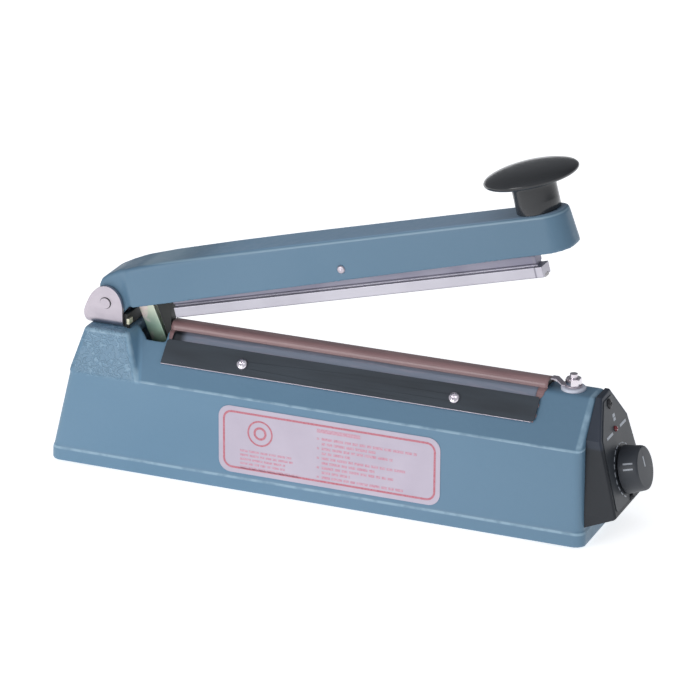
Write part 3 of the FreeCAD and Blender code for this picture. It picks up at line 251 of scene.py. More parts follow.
def near(s, value, middle, inner, outer):
    """1 where value is within inner of middle, falling to 0 at outer."""
    gap = s.math("ABSOLUTE", s.math("SUBTRACT", value, middle))
    return s.span(gap, inner, outer, 1.0, 0.0, smooth=True)


def enamel(s, colour, wrinkles):
    """Coat, gloss and relief of the blue enamel, with a painted highlight on the wrinkles' ridges; wrinkles is
    where it is strongly hammered.
    """
    warp = s.noise(230, 2.0)
    worms = s.noise(WORM_SCALE, 1.0, 0.4, distortion=0.8)
    ridges = near(s, worms, 0.5, 0.0, 0.10)
    relief = s.math("MULTIPLY", ridges, wrinkles)
    # painted highlight: the ridges are lightened as if catching the light
    colour = s.mix(colour, WRINKLE_HIGHLIGHT, s.math("MULTIPLY", relief, 0.62))
    pebbles = s.cells(PEBBLE_SCALE, "SMOOTH_F1", smoothness=0.9)
    s.set(Base_Color=colour, Roughness=s.span(warp, 0.3, 0.7, 0.38, 0.48),
          Coat_Weight=0.12, Coat_Roughness=0.2, Specular_IOR_Level=0.4)
    raised = s.bump(relief, 0.40 * MM, 0.75)
    skin = s.bump(pebbles, 0.12 * MM, 0.55, under=raised)
    s.set(Normal=s.bump(s.noise(GRAIN_SCALE, 3.0, 0.6), 0.05 * MM, 0.25, under=skin))


def make_hammertone():
    """The base's enamel: wrinkled on the pedestal's sides, with painted highlights along its edges, painted light
    on the pedestal's face towards the bed and painted shade towards the timer end.
    """
    s = Shader("blue_hammertone")
    x, z = s.axis("X"), s.axis("Z")
    y = s.math("ABSOLUTE", s.axis("Y"))
    paint = s.mix(PAINT_LOW, PAINT_HIGH, s.span(s.noise(14, 2.0), 0.35, 0.65))
    # painted shade: the paint darkens towards the timer end
    paint = s.mix(paint, PAINT_END_SHADE, s.span(x, -0.040, 0.130, 0.0, 0.75))
    drop = s.math("SUBTRACT", PEDESTAL_TOP_Z, z)
    # How far a point is out from the pedestal's face, and from its side.
    front = s.math("SUBTRACT", x, s.math("ADD", s.math("MULTIPLY", drop, FACE_SLOPE), FACE_X))
    side = s.math("SUBTRACT", y, s.math("ADD", s.math("MULTIPLY", drop, SIDE_SLOPE), SIDE_Y))
    above = s.span(z, CREASE_Z - 0.0020, CREASE_Z + 0.0010, smooth=True)
    # painted light: the pedestal's face towards the bed is lightened
    paint = s.mix(paint, PAINT_FACE_LIT, s.math("MULTIPLY", near(s, front, 0.0, 0.0015, 0.0030), above))
    corner = s.math("MULTIPLY", near(s, front, -0.0004, 0.0009, 0.0016), s.span(side, -0.0030, -0.0022))
    corner = s.math("MULTIPLY", corner, above)
    brow = s.math("MULTIPLY", near(s, z, BROW_Z, 0.0005, 0.0012), s.span(side, -0.0028, -0.0020))
    brow = s.math("MULTIPLY", brow, s.span(front, -0.0006, 0.0006, 1.0, 0.0))
    crease = s.math("MULTIPLY", near(s, z, CREASE_Z, 0.0003, 0.0008), s.span(front, 0.0, 0.003))
    ridge_end = s.math("MULTIPLY", near(s, x, RIDGE_END_X, 0.0008, 0.0018),
                       s.span(z, CREASE_Z, CREASE_Z + 0.0020))
    # painted highlights: light lines along the skirt's top, the crease, the pedestal's corner and brow and the
    # ridge's end, broken up by patch
    lines = near(s, z, SKIRT_Z, 0.0003, 0.0009)
    for line in (crease, corner, brow, ridge_end):
        lines = s.math("MAXIMUM", lines, line)
    patch = s.span(s.noise(160, 2.0), 0.36, 0.56, 0.35, 1.0)
    paint = s.mix(paint, EDGE_HIGHLIGHT, s.math("MULTIPLY", lines, s.math("MULTIPLY", patch, 0.75)))
    wrinkles = s.math("MULTIPLY", s.span(front, -0.0022, -0.0012, 1.0, 0.0), above)
    enamel(s, paint, wrinkles)
    return s.material


def make_arm_paint():
    """The arm's enamel: a little darker on its sides, with a painted reflection on top, a painted highlight along
    its upper edge and painted shade towards the knob.
    """
    s = Shader("arm_paint")
    where = s.arm_place()
    height, along = s.axis("Z", where), s.axis("X", where)
    low, high, end, worn = (tuple(ARM_SHADE * c for c in tone)
                            for tone in (PAINT_LOW, PAINT_HIGH, PAINT_END_SHADE, EDGE_HIGHLIGHT))
    paint = s.mix(low, high, s.span(s.noise(14, 2.0), 0.35, 0.65))
    # painted shade: the arm's paint darkens towards the knob end
    paint = s.mix(paint, end, s.span(along, 0.12, 0.25, 0.0, 0.6))
    # painted highlight along the arm's upper edge (worn holds the edges' painted highlight colour)
    paint = s.mix(paint, worn, s.math("MULTIPLY", near(s, height, ARM_RIM_Z, 0.0002, 0.0007), 0.7))
    # painted reflection: the arm's top is lighter
    top = s.mix(*ARM_TOP_REFLECTION, s.span(along, 0.05, 0.22))
    paint = s.mix(paint, top, s.span(height, ARM_TOP_Z, ARM_TOP_Z + 0.0005))
    enamel(s, paint, 0.0)
    return s.material


def make_plate(name, colour, tint, rough):
    """Zinc plated sheet or turned steel, with faint drawing lines and a cloudy tint."""
    s = Shader(name)
    lines = s.noise(1.0, 3.0, where=s.mapped((60, 900, 900)))
    cloud = s.noise(90, 3.0)
    s.set(Base_Color=s.mix(colour, tint, s.span(cloud, 0.35, 0.7)), Metallic=1.0,
          Roughness=s.span(lines, 0.25, 0.75, rough - 0.07, rough + 0.09),
          Normal=s.bump(lines, 0.02 * MM, 0.25))
    return s.material


def make_yellow_zinc():
    """Passivated zinc: green at the foot of the lever, cream above, with pink clouds."""
    s = Shader("yellow_zinc")
    cloud = s.noise(120, 3.0, 0.55, distortion=0.6)
    height = s.span(s.axis("Z"), PEDESTAL_TOP_Z - 0.0005, PEDESTAL_TOP_Z + 0.0155)
    tint = s.mix((0.36, 0.50, 0.38), (0.84, 0.82, 0.68), height)
    tint = s.mix(tint, (0.90, 0.72, 0.72), s.span(cloud, 0.50, 0.72))
    s.set(Base_Color=tint, Metallic=0.85, Roughness=s.span(cloud, 0.3, 0.7, 0.30, 0.44),
          Normal=s.bump(s.noise(900, 2.0), 0.02 * MM, 0.2))
    return s.material


def make_bar_aluminium():
    """Extruded bar: satin bright foot, web above the groove painted darker as shade under the arm's overhang, and
    a seam near its end.
    """
    s = Shader("aluminium_bar")
    s.place = s.arm_place()
    lines = s.noise(1.0, 3.0, where=s.mapped((12, 1600, 1600)))
    cloud = s.noise(40, 2.0)
    foot = s.mix((0.49, 0.47, 0.52), (0.55, 0.53, 0.58), s.span(cloud, 0.35, 0.65))
    # painted shade: the web above the groove is darkened under the arm's overhang
    web = s.mix((0.22, 0.21, 0.27), (0.28, 0.27, 0.33), s.span(cloud, 0.35, 0.65))
    height = s.axis("Z")
    bright = s.mix(foot, web, s.span(height, BAR_GROOVE_Z - 0.0004, BAR_GROOVE_Z + 0.0004))
    seam = s.math("ABSOLUTE", s.math("SUBTRACT", s.axis("X"), BAR_SEAM_X))
    s.set(Base_Color=s.mix((0.24, 0.23, 0.27), bright, s.span(seam, 0.0002, 0.0006)),
          Metallic=0.75, Roughness=s.span(lines, 0.25, 0.75, 0.34, 0.50),
          Normal=s.bump(lines, 0.03 * MM, 0.35))
    return s.material


def make_clamp_black():
    """Black painted aluminium strip; its lower rim is left bright."""
    s = Shader("black_plate")
    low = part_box("clamp_plate_near")[0]
    rim = s.span(s.axis("Z"), low.z + 0.62 * MM, low.z + 0.80 * MM, 1.0, 0.0)
    grain = s.noise(1200, 3.0)
    smear = s.noise(1.0, 3.0, where=s.mapped((14, 90, 90)))
    paint = s.mix((0.024, 0.030, 0.038), (0.042, 0.054, 0.068), s.span(smear, 0.35, 0.7))
    s.set(Base_Color=s.mix(paint, (0.62, 0.55, 0.60), rim), Metallic=s.math("MULTIPLY", rim, 0.9),
          Roughness=s.span(smear, 0.3, 0.7, 0.34, 0.48), Specular_IOR_Level=0.55,
          Normal=s.bump(grain, 0.02 * MM, 0.25))
    return s.material


def make_guard_tab():
    """Passivated tab; its leg, down in the dark of the slot, is painted black as shade."""
    s = Shader("guard_tab")
    cloud = s.noise(400, 2.0)
    tint = s.mix((0.62, 0.60, 0.40), (0.78, 0.74, 0.60), s.span(cloud, 0.35, 0.65))
    # painted shade: the leg is painted black
    leg = s.span(s.axis("Z"), TAB_LEG_Z, TAB_LEG_Z + 0.0004, 1.0, 0.0)
    s.set(Base_Color=s.mix(tint, (0.02, 0.02, 0.02), leg), Metallic=0.5, Roughness=0.4,
          Normal=s.bump(cloud, 0.02 * MM, 0.2))
    return s.material


def make_black_screw():
    s = Shader("black_screw")
    grain = s.noise(1500, 3.0)
    s.set(Base_Color=s.mix((0.02, 0.02, 0.022), (0.05, 0.05, 0.055), grain), Metallic=0.6,
          Roughness=0.38, Normal=s.bump(grain, 0.02 * MM, 0.3))
    return s.material


def make_moulded(name, dark, light, rough, grain_scale, depth, coat=0.0, gloss=0.5):
    """Moulded plastic or rubber: two close tones, grain and slightly uneven gloss."""
    s = Shader(name)
    broad = s.noise(60, 2.0)
    grain = s.noise(grain_scale, 3.0, 0.6)
    s.set(Base_Color=s.mix(dark, light, s.span(broad, 0.3, 0.7)),
          Roughness=s.span(broad, 0.3, 0.7, rough - 0.03, rough + 0.05),
          Coat_Weight=coat, Coat_Roughness=0.08, Specular_IOR_Level=gloss,
          Normal=s.bump(grain, depth * MM, 0.4))
    return s.material


WEAVE_SCALE = 420


def plain_weave(s):
    return s.math("MAXIMUM", s.wave(WEAVE_SCALE, "X"), s.wave(WEAVE_SCALE, "Y"))


def make_tan_cloth():
    """Coated glass cloth: a fine plain weave under a brown glossy coat."""
    s = Shader("tan_cloth")
    weave = plain_weave(s)
    stain = s.noise(1.0, 4.0, 0.6, where=s.mapped((30, 260, 260)))
    brown = s.mix((0.205, 0.108, 0.110), (0.315, 0.180, 0.175), s.span(stain, 0.3, 0.7))
    brown = s.mix(brown, (0.40, 0.26, 0.27), s.span(weave, 0.6, 1.0, 0.0, 0.25))
    s.set(Base_Color=brown, Roughness=s.span(stain, 0.3, 0.7, 0.33, 0.47), Coat_Weight=0.35,
          Coat_Roughness=0.25, Sheen_Weight=0.15, Sheen_Roughness=0.4,
          Normal=s.bump(weave, 0.04 * MM, 0.35))
    return s.material


def make_grey_sheet():
    """Coated sheet whose grey, streaked along its length, is a painted sheen, and which is painted dark at the
    hinge end as shadow.
    """
    s = Shader("grey_sheet")
    weave = plain_weave(s)
    streak = s.noise(1.0, 4.0, 0.6, where=s.mapped((45, 500, 500)))
    # painted sheen: the grey and its streaks stand for light reflected off the sheet
    grey = s.mix((0.205, 0.230, 0.290), (0.30, 0.28, 0.34), s.span(streak, 0.50, 0.72))
    # painted shade: dark at the hinge end
    shaded_end = s.span(s.axis("X"), SHEET_DARK_X, SHEET_DARK_X + 0.0050, 1.0, 0.0, smooth=True)
    grey = s.mix(grey, (0.018, 0.020, 0.024), shaded_end)
    s.set(Base_Color=grey, Roughness=s.span(streak, 0.3, 0.7, 0.28, 0.42), Metallic=0.35,
          Coat_Weight=0.3, Coat_Roughness=0.2, Normal=s.bump(weave, 0.03 * MM, 0.3))
    return s.material


def make_label():
    """Satin film, slightly uneven."""
    s = Shader("label_white")
    cloud = s.noise(50, 3.0)
    s.set(Base_Color=s.mix((0.455, 0.400, 0.480), (0.510, 0.450, 0.530), s.span(cloud, 0.3, 0.7)),
          Roughness=s.span(cloud, 0.3, 0.7, 0.34, 0.44), Coat_Weight=0.15, Coat_Roughness=0.2,
          Normal=s.bump(s.noise(700, 2.0), 0.01 * MM, 0.25))
    return s.material


def make_ink(name, colour, faded, share):
    """Print that is worn in spots: share is how far the worn spots go to the faded colour."""
    s = Shader(name)
    wear = s.noise(900, 3.0, 0.7)
    s.set(Base_Color=s.mix(colour, faded, s.span(wear, 0.35, 0.65, 0.0, share)), Roughness=0.45,
          Normal=s.bump(wear, 0.005 * MM, 0.2))
    return s.material


def make_cover_black():
    """Moulded cover: its upper facets are painted a little lighter and bluer than its walls, as light falls on
    them.
    """
    s = Shader("cover_black")
    grain = s.noise(1400, 3.0, 0.6)
    broad = s.noise(60, 2.0)
    wall = s.mix((0.010, 0.012, 0.016), (0.015, 0.018, 0.023), s.span(broad, 0.3, 0.7))
    # painted light: the upper facets are lighter
    facet = s.mix((0.020, 0.027, 0.041), (0.027, 0.034, 0.050), s.span(broad, 0.3, 0.7))
    s.set(Base_Color=s.mix(wall, facet, s.span(s.axis("Z"), COVER_FACET_Z, COVER_FACET_Z + 0.0015)),
          Roughness=s.span(broad, 0.3, 0.7, 0.42, 0.50), Specular_IOR_Level=0.4,
          Normal=s.bump(grain, 0.03 * MM, 0.4))
    return s.material


def make_lamp():
    s = Shader("red_lamp")
    depth = s.noise(500, 2.0)
    s.set(Base_Color=s.mix((0.16, 0.012, 0.018), (0.30, 0.02, 0.03), depth), Roughness=0.15,
          Transmission_Weight=0.25, Coat_Weight=0.5, Coat_Roughness=0.05)
    return s.material


def make_core_steel():
    """Transformer laminations, stacked along Y."""
    s = Shader("core_steel")
    sheets = s.wave(310, "Y")
    rust = s.noise(80, 4.0)
    s.set(Base_Color=s.mix((0.12, 0.12, 0.13), (0.26, 0.25, 0.25), s.span(rust, 0.3, 0.7)),
          Metallic=0.8, Roughness=s.span(rust, 0.3, 0.7, 0.4, 0.6),
          Normal=s.bump(sheets, 0.1 * MM, 0.5))
    return s.material


def make_coil_tape():
    s = Shader("coil_tape")
    wraps = s.wave(60, "Z", distortion=1.5)
    s.set(Base_Color=s.mix((0.50, 0.36, 0.05), (0.66, 0.50, 0.10), wraps),
          Roughness=s.span(wraps, 0.0, 1.0, 0.3, 0.45), Normal=s.bump(wraps, 0.1 * MM, 0.4))
    return s.material


def make_board():
    s = Shader("board_green")
    tracks = s.cells(220, "DISTANCE_TO_EDGE")
    s.set(Base_Color=s.mix((0.10, 0.34, 0.13), (0.03, 0.15, 0.06), s.span(tracks, 0.02, 0.06)),
          Roughness=0.35, Normal=s.bump(tracks, 0.03 * MM, 0.3))
    return s.material


def make_floor():
    s = Shader("pale_floor")
    grain = s.noise(30, 2.0)
    s.set(Base_Color=s.mix((0.90, 0.90, 0.90), (0.93, 0.93, 0.93), grain), Roughness=0.8,
          Specular_IOR_Level=0.1, Emission_Color=(1.0, 1.0, 1.0), Emission_Strength=0.70)
    return s.material


MATERIALS = {
    "blue_hammertone": make_hammertone(),
    "bright_plate": make_plate("bright_plate", (0.475, 0.430, 0.475), (0.540, 0.490, 0.535), 0.42),
    "yellow_zinc": make_yellow_zinc(),
    "chrome_screw": make_plate("chrome_screw", (0.78, 0.74, 0.78), (0.66, 0.60, 0.64), 0.18),
    "aluminium_bar": make_bar_aluminium(),
    "black_plate": make_clamp_black(),
    "black_screw": make_black_screw(),
    "black_rubber": make_moulded("black_rubber", (0.018, 0.018, 0.019), (0.030, 0.030, 0.031),
                                 0.62, 900, 0.05),
    "silicone": make_moulded("silicone", (0.46, 0.43, 0.43), (0.54, 0.51, 0.50), 0.55, 700, 0.03),
    "black_gloss": make_moulded("black_gloss", (0.017, 0.018, 0.020), (0.023, 0.024, 0.026),
                                0.20, 500, 0.006, coat=0.2, gloss=0.4),
    "black_satin": make_moulded("black_satin", (0.019, 0.023, 0.030), (0.027, 0.031, 0.039),
                                0.44, 1400, 0.03),
    "black_phenolic": make_moulded("black_phenolic", (0.014, 0.015, 0.014), (0.022, 0.023, 0.021),
                                   0.50, 900, 0.03),
    "white_insulator": make_moulded("white_insulator", (0.58, 0.60, 0.68), (0.66, 0.66, 0.72),
                                    0.35, 800, 0.01),
    "tan_cloth": make_tan_cloth(),
    "grey_sheet": make_grey_sheet(),
    "nichrome": make_plate("nichrome", (0.40, 0.37, 0.34), (0.30, 0.26, 0.24), 0.38),
    "spring_steel": make_plate("spring_steel", (0.30, 0.29, 0.28), (0.20, 0.19, 0.19), 0.32),
    "label_white": make_label(),
    "dial_print": make_moulded("dial_print", (0.024, 0.028, 0.034), (0.036, 0.041, 0.048),
                               0.42, 1500, 0.02),
    "red_lamp": make_lamp(),
    "core_steel": make_core_steel(),
    "coil_tape": make_coil_tape(),
    "board_green": make_board(),
    "board_dark": make_moulded("board_dark", (0.03, 0.03, 0.035), (0.07, 0.07, 0.08),
                               0.35, 600, 0.02),
    "switch_red": make_moulded("switch_red", (0.26, 0.035, 0.03), (0.36, 0.05, 0.04),
                               0.45, 900, 0.02),
    "arm_paint": make_arm_paint(),
    "guard_tab": make_guard_tab(),
    "cover_black": make_cover_black(),
    "dial_ink": make_ink("dial_ink", (0.46, 0.49, 0.53), (0.30, 0.32, 0.36), 0.6),
    "red_ink": make_ink("red_ink", (0.46, 0.115, 0.150), (0.56, 0.30, 0.36), 0.5),
    "faded_ink": make_ink("faded_ink", (0.52, 0.235, 0.300), (0.57, 0.42, 0.50), 0.8),
    "grey_ink": make_ink("grey_ink", (0.36, 0.38, 0.41), (0.22, 0.23, 0.26), 0.5),
}


def paint(obj, name):
    """Gives a piece one material, in place of any it came with."""
    obj.data.materials.clear()
    obj.data.materials.append(MATERIALS[name])


# ---------------------------------------------------------------- modifiers for carried-over parts
WELD_GAP = 0.004 * MM
EDGE_SEGMENTS = 2
EDGE_ANGLE = math.radians(32.0)        # only corners sharper than this are bevelled
FACE_AREA_WEIGHT = 80


def crisp(obj, width):
    """Breaks the sharp edges of a machined or bent part by the given width in mm."""
    weld = obj.modifiers.new("weld", "WELD")
    weld.merge_threshold = WELD_GAP
    bevel = obj.modifiers.new("edges", "BEVEL")
    bevel.width = width * MM
    bevel.segments = EDGE_SEGMENTS
    bevel.limit_method = "ANGLE"
    bevel.angle_limit = EDGE_ANGLE
    bevel.use_clamp_overlap = True
    bevel.harden_normals = False
    normals = obj.modifiers.new("normals", "WEIGHTED_NORMAL")
    normals.keep_sharp = True
    normals.weight = FACE_AREA_WEIGHT


def soften(obj, voxel, passes, keep):
    """Rounds every edge and corner of a casting: voxel in mm, then smoothing passes, and
    keep is the share of the faces that stays."""
    remesh = obj.modifiers.new("skin", "REMESH")
    remesh.mode = "VOXEL"
    remesh.voxel_size = voxel * MM
    remesh.use_smooth_shade = True
    smooth = obj.modifiers.new("soft", "SMOOTH")
    smooth.factor = 0.5
    smooth.iterations = passes
    thin = obj.modifiers.new("thin", "DECIMATE")
    thin.ratio = keep


EDGE_WIDTH = {"hinge_bracket": 0.35, "arm_lever": 0.3, "pressure_bar": 0.3, "timer_cover": 0.5,
              "clamp_plate_near": 0.15, "clamp_plate_far": 0.15, "seal_bed": 0.3,
              "transformer_core": 0.3, "transformer_coil": 0.6, "switch_body": 0.3,
              "side_label": 0.06, "dial_plate": 0.08, "rear_terminal_block": 0.3}
USUAL_EDGE_WIDTH = 0.18
CASTINGS = {"base_casting": (0.85, 5, 0.35), "arm_casting": (0.7, 6, 0.4)}
OWN_PAINT = {"cover_screws": "black_screw", "arm_casting": "arm_paint", "guard_tab": "guard_tab",
             "timer_cover": "cover_black"}


def finish_cad_parts():
    """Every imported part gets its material, and the edge treatment that suits it."""
    for part in frame["record"]["subparts"]:
        name = part["node"]
        obj = NODES[name]
        paint(obj, OWN_PAINT.get(name, part["material_slot"]))
        if name in CASTINGS:
            soften(obj, *CASTINGS[name])
        else:
            crisp(obj, EDGE_WIDTH.get(name, USUAL_EDGE_WIDTH))


# ---------------------------------------------------------------- mesh helpers
def new_piece(name, mesh_builder, body, material, replaced=(), smooth=True):
    """Makes an object from a bmesh and hangs it on a body."""
    mesh = bpy.data.meshes.new(name)
    mesh_builder.normal_update()
    mesh_builder.to_mesh(mesh)
    mesh_builder.free()
    for face in mesh.polygons:
        face.use_smooth = smooth
    obj = bpy.data.objects.new(name, mesh)
    bpy.context.scene.collection.objects.link(obj)
    paint(obj, material)
    if body is not None:
        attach(obj, body)
    if replaced:
        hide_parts(*replaced)
    return obj


LATHE_SEGMENTS, CIRCLE_STEPS, CORNER_STEPS, WIRE_SIDES = 96, 48, 8, 8


def ring_of_points(radius, count):
    """Evenly spaced (x, y) points on a circle round the origin."""
    return [(radius * math.cos(2 * math.pi * k / count), radius * math.sin(2 * math.pi * k / count))
            for k in range(count)]


def skin_between(mesh, first, second):
    """Quads between two closed rings of the same count."""
    for k in range(len(first)):
        n = (k + 1) % len(first)
        mesh.faces.new((first[k], first[n], second[n], second[k]))


def curve_through(points, steps):
    """Smooth line through the given points (Catmull-Rom), end points included."""
    padded = [points[0]] + list(points) + [points[-1]]
    line = []
    for a, b, c, d in zip(padded, padded[1:], padded[2:], padded[3:]):
        for k in range(steps):
            t = k / steps
            line.append(tuple(0.5 * (2 * q + (r - p) * t + (2 * p - 5 * q + 4 * r - s) * t * t
                                     + (3 * q - p - 3 * r + s) * t ** 3)
                              for p, q, r, s in zip(a, b, c, d)))
    line.append(tuple(points[-1]))
    return line


def lathe(mesh, profile, place):
    """Turns (radius, height) pairs in mm about the local Z axis of place."""
    rings = []
    for radius, height in profile:
        outline = ring_of_points(radius, LATHE_SEGMENTS) if radius else [(0, 0)]
        rings.append([mesh.verts.new(place @ (Vector((x, y, height)) * MM)) for x, y in outline])
    for low, high in zip(rings, rings[1:]):
        for k in range(LATHE_SEGMENTS):
            n = (k + 1) % LATHE_SEGMENTS
            corners = [low[k % len(low)], low[n % len(low)], high[n % len(high)], high[k % len(high)]]
            corners = [v for i, v in enumerate(corners) if v not in corners[:i]]
            if len(corners) > 2:
                mesh.faces.new(corners)
    return mesh


def block(mesh, place, size):
    """Box of the given size in mm, centred on place."""
    scaled = place @ Matrix.Diagonal((*[side * MM for side in size], 1.0))
    bmesh.ops.create_cube(mesh, size=1.0, matrix=scaled)


def slab(mesh, place, low, high):
    """Box between two local corners, in mm."""
    centre = Vector([(a + b) / 2 for a, b in zip(low, high)])
    block(mesh, place @ Matrix.Translation(centre * MM), [b - a for a, b in zip(low, high)])


def rounded_outline(half_x, half_y, radius):
    """Points of a rounded rectangle round the origin, in mm."""
    points = []
    for turn, (sx, sy) in enumerate([(1, 1), (-1, 1), (-1, -1), (1, -1)]):
        for k in range(CORNER_STEPS + 1):
            angle = math.radians(90 * (turn + k / CORNER_STEPS))
            points.append((sx * (half_x - radius) + radius * math.cos(angle),
                           sy * (half_y - radius) + radius * math.sin(angle)))
    return points


def band(mesh, place, outer, inner, low, high):
    """Closed strip between two outlines of the same count, from one height to another."""
    loops = [[mesh.verts.new(place @ (Vector((x, y, z)) * MM)) for x, y in outline]
             for outline, z in ((outer, low), (outer, high), (inner, high), (inner, low))]
    for a, b in zip(loops, loops[1:] + loops[:1]):
        skin_between(mesh, a, b)


def tube(mesh, points, radius):
    """Round wire along a line of points, in metres, with closed ends."""
    rings = []
    for i, point in enumerate(points):
        ahead = (points[min(i + 1, len(points) - 1)] - points[max(i - 1, 0)]).normalized()
        across = ahead.cross(Vector((0, 0, 1))).normalized()
        up = across.cross(ahead)
        rings.append([mesh.verts.new(point + x * across + y * up)
                      for x, y in ring_of_points(radius, WIRE_SIDES)])
    for low, high in zip(rings, rings[1:]):
        skin_between(mesh, low, high)
    mesh.faces.new(rings[0][::-1])
    mesh.faces.new(rings[-1])


# ---------------------------------------------------------------- stage
FLOOR_HALF = 6.0
FRONT_SKY, BACK_SKY = 0.58, 0.20       # strength of the studio's light from the near and far side
OVERHEAD_SHARE = 1.25                  # how much stronger it is straight above than low down
SKY_COLOUR = (0.95, 0.99, 1.06, 1.0)
BOX_PLACE, BOX_AIM, BOX_SIZE, BOX_POWER = (-0.9, -2.2, 0.75), (0, 0, 0.08), (1.2, 0.8), 17


def add_floor():
    """Plain pale floor, which is not part of the object."""
    mesh = bmesh.new()
    bmesh.ops.create_grid(mesh, x_segments=1, y_segments=1, size=FLOOR_HALF)
    data = bpy.data.meshes.new("floor")
    mesh.to_mesh(data)
    mesh.free()
    floor = bpy.data.objects.new("floor", data)
    bpy.context.scene.collection.objects.link(floor)
    data.materials.append(make_floor())


def add_front_box():
    """One soft box in front of the hinge end, at the camera's height and to its left."""
    data = bpy.data.lights.new("front_box", "AREA")
    data.shape = "RECTANGLE"
    data.size, data.size_y = BOX_SIZE
    data.energy = BOX_POWER
    light = bpy.data.objects.new("front_box", data)
    bpy.context.scene.collection.objects.link(light)
    light.location = BOX_PLACE
    light.rotation_euler = (Vector(BOX_AIM) - Vector(BOX_PLACE)).to_track_quat("-Z", "Y").to_euler()


def add_light():
    """Even studio light: stronger from the front than the back, and a little stronger above."""
    bpy.context.scene.view_settings.view_transform = "Standard"
    world = bpy.data.worlds.new("studio")
    bpy.context.scene.world = world
    world.use_nodes = True
    tree = world.node_tree
    sky = tree.nodes["Background"]
    coords = tree.nodes.new("ShaderNodeTexCoord")
    split = tree.nodes.new("ShaderNodeSeparateXYZ")
    tree.links.new(coords.outputs["Generated"], split.inputs["Vector"])
    shares = []
    for letter, start, end, at_start, at_end in (("Z", 0.1, 0.9, 1.0, OVERHEAD_SHARE),
                                                 ("Y", -0.5, 0.7, FRONT_SKY, BACK_SKY)):
        ramp = tree.nodes.new("ShaderNodeMapRange")
        ramp.inputs["From Min"].default_value = start
        ramp.inputs["From Max"].default_value = end
        ramp.inputs["To Min"].default_value = at_start
        ramp.inputs["To Max"].default_value = at_end
        tree.links.new(split.outputs[letter], ramp.inputs["Value"])
        shares.append(ramp.outputs["Result"])
    both = tree.nodes.new("ShaderNodeMath")
    both.operation = "MULTIPLY"
    tree.links.new(shares[0], both.inputs[0])
    tree.links.new(shares[1], both.inputs[1])
    tree.links.new(both.outputs["Value"], sky.inputs["Strength"])
    sky.inputs["Color"].default_value = SKY_COLOUR
    add_front_box()


# ---------------------------------------------------------------- press knob
KNOB_ALONG_ARM, ARM_TOP = 242.3, 18.3  # the knob's foot in the arm's frame


def add_press_knob():
    """Mushroom knob: straight stem, hollowed neck under the cap and a low dome."""
    place = ARM_FRAME @ Matrix.Translation(Vector((KNOB_ALONG_ARM, 0, ARM_TOP)) * MM)
    stem = [(0, 0.05), (10.6, 0.05), (11.2, 0.5), (11.2, 6.0), (11.2, 11.2)]
    cap = [(11.2, 11.2), (11.5, 13.4), (13.0, 14.9), (17.0, 15.7), (20.9, 16.2), (23.0, 16.9),
           (23.9, 18.0), (23.5, 19.2), (21.6, 20.4), (17.3, 21.7), (11.5, 22.6), (5.5, 23.0),
           (0.0, 23.1)]
    mesh = lathe(bmesh.new(), stem + curve_through(cap, 6)[1:], place)
    new_piece("press_knob_moulding", mesh, "arm", "black_gloss", replaced=["press_knob"])


# ---------------------------------------------------------------- release cloth and side sheets
CREASE = (27.3, 51.8)                  # half width and height where the slope begins
DECK = (7.0, 73.6)                     # half width and height of the ridge's top
DECK_EDGE_R = 3.0                      # the rounding between slope and deck
BED_TOP = 77.4
BED_HALF, BED_SHOULDER_R = 4.65, 3.25  # the crowned bed's half width and the rounding of its top
CLOTH_T = 0.25
CLOTH_EDGE_Y = 19.2                    # the cloth and the sheets reach down the slope to here
CLOTH_X = (-100.2, 105.3)
SIDE_SHEET_X = (-97.4, 101.0)
SIDE_SHEET_Y = 5.45                    # and the sheets reach in to here, beside the bed
SLOPE_STEPS, EDGE_STEPS, SHOULDER_STEPS, SHEET_COLUMNS = 14, 6, 10, 120
RAGGED = 0.15                          # how far a sheet's end is cut short, on average
VISIBLE_T = 0.18                       # the thickness that the sheets are drawn with
SLOPE_TURN = math.atan2(DECK[1] - CREASE[1], CREASE[0] - DECK[0])


def over_the_ridge(out, reach_in):
    """Half section (y, z) over the slope and deck, this far outside the metal, from the
    sheet's lower edge up to reach_in from the middle."""
    radius = DECK_EDGE_R + out
    corner = DECK[0] + out * math.tan(SLOPE_TURN / 2)
    centre = (corner - radius * math.tan(SLOPE_TURN / 2), DECK[1] + out - radius)
    start = (centre[0] + radius * math.sin(SLOPE_TURN), centre[1] + radius * math.cos(SLOPE_TURN))
    fall = math.tan(SLOPE_TURN)
    points = []
    for k in range(SLOPE_STEPS):
        y = CLOTH_EDGE_Y + (start[0] - CLOTH_EDGE_Y) * k / SLOPE_STEPS
        points.append((y, start[1] - fall * (y - start[0])))
    for k in range(EDGE_STEPS + 1):
        angle = SLOPE_TURN * (1 - k / EDGE_STEPS)
        points.append((centre[0] + radius * math.sin(angle), centre[1] + radius * math.cos(angle)))
    points.append((reach_in, DECK[1] + out))
    return points


def over_the_bed(out):
    """Half section of the cloth from the deck up round the crowned bed to the middle."""
    half = BED_HALF + out
    top = BED_TOP + 0.2 + 2.0 * out
    shoulder = BED_SHOULDER_R + out
    centre = (half - shoulder, top - shoulder - 0.02)
    points = [(half + 0.25, DECK[1] + out + 0.05), (half, DECK[1] + 0.65)]
    for k in range(SHOULDER_STEPS + 1):
        angle = math.radians(90 * k / SHOULDER_STEPS)
        points.append((centre[0] + shoulder * math.cos(angle), centre[1] + shoulder * math.sin(angle)))
    points += [(0.9, top + 0.06), (0.0, top + 0.08)]
    return points


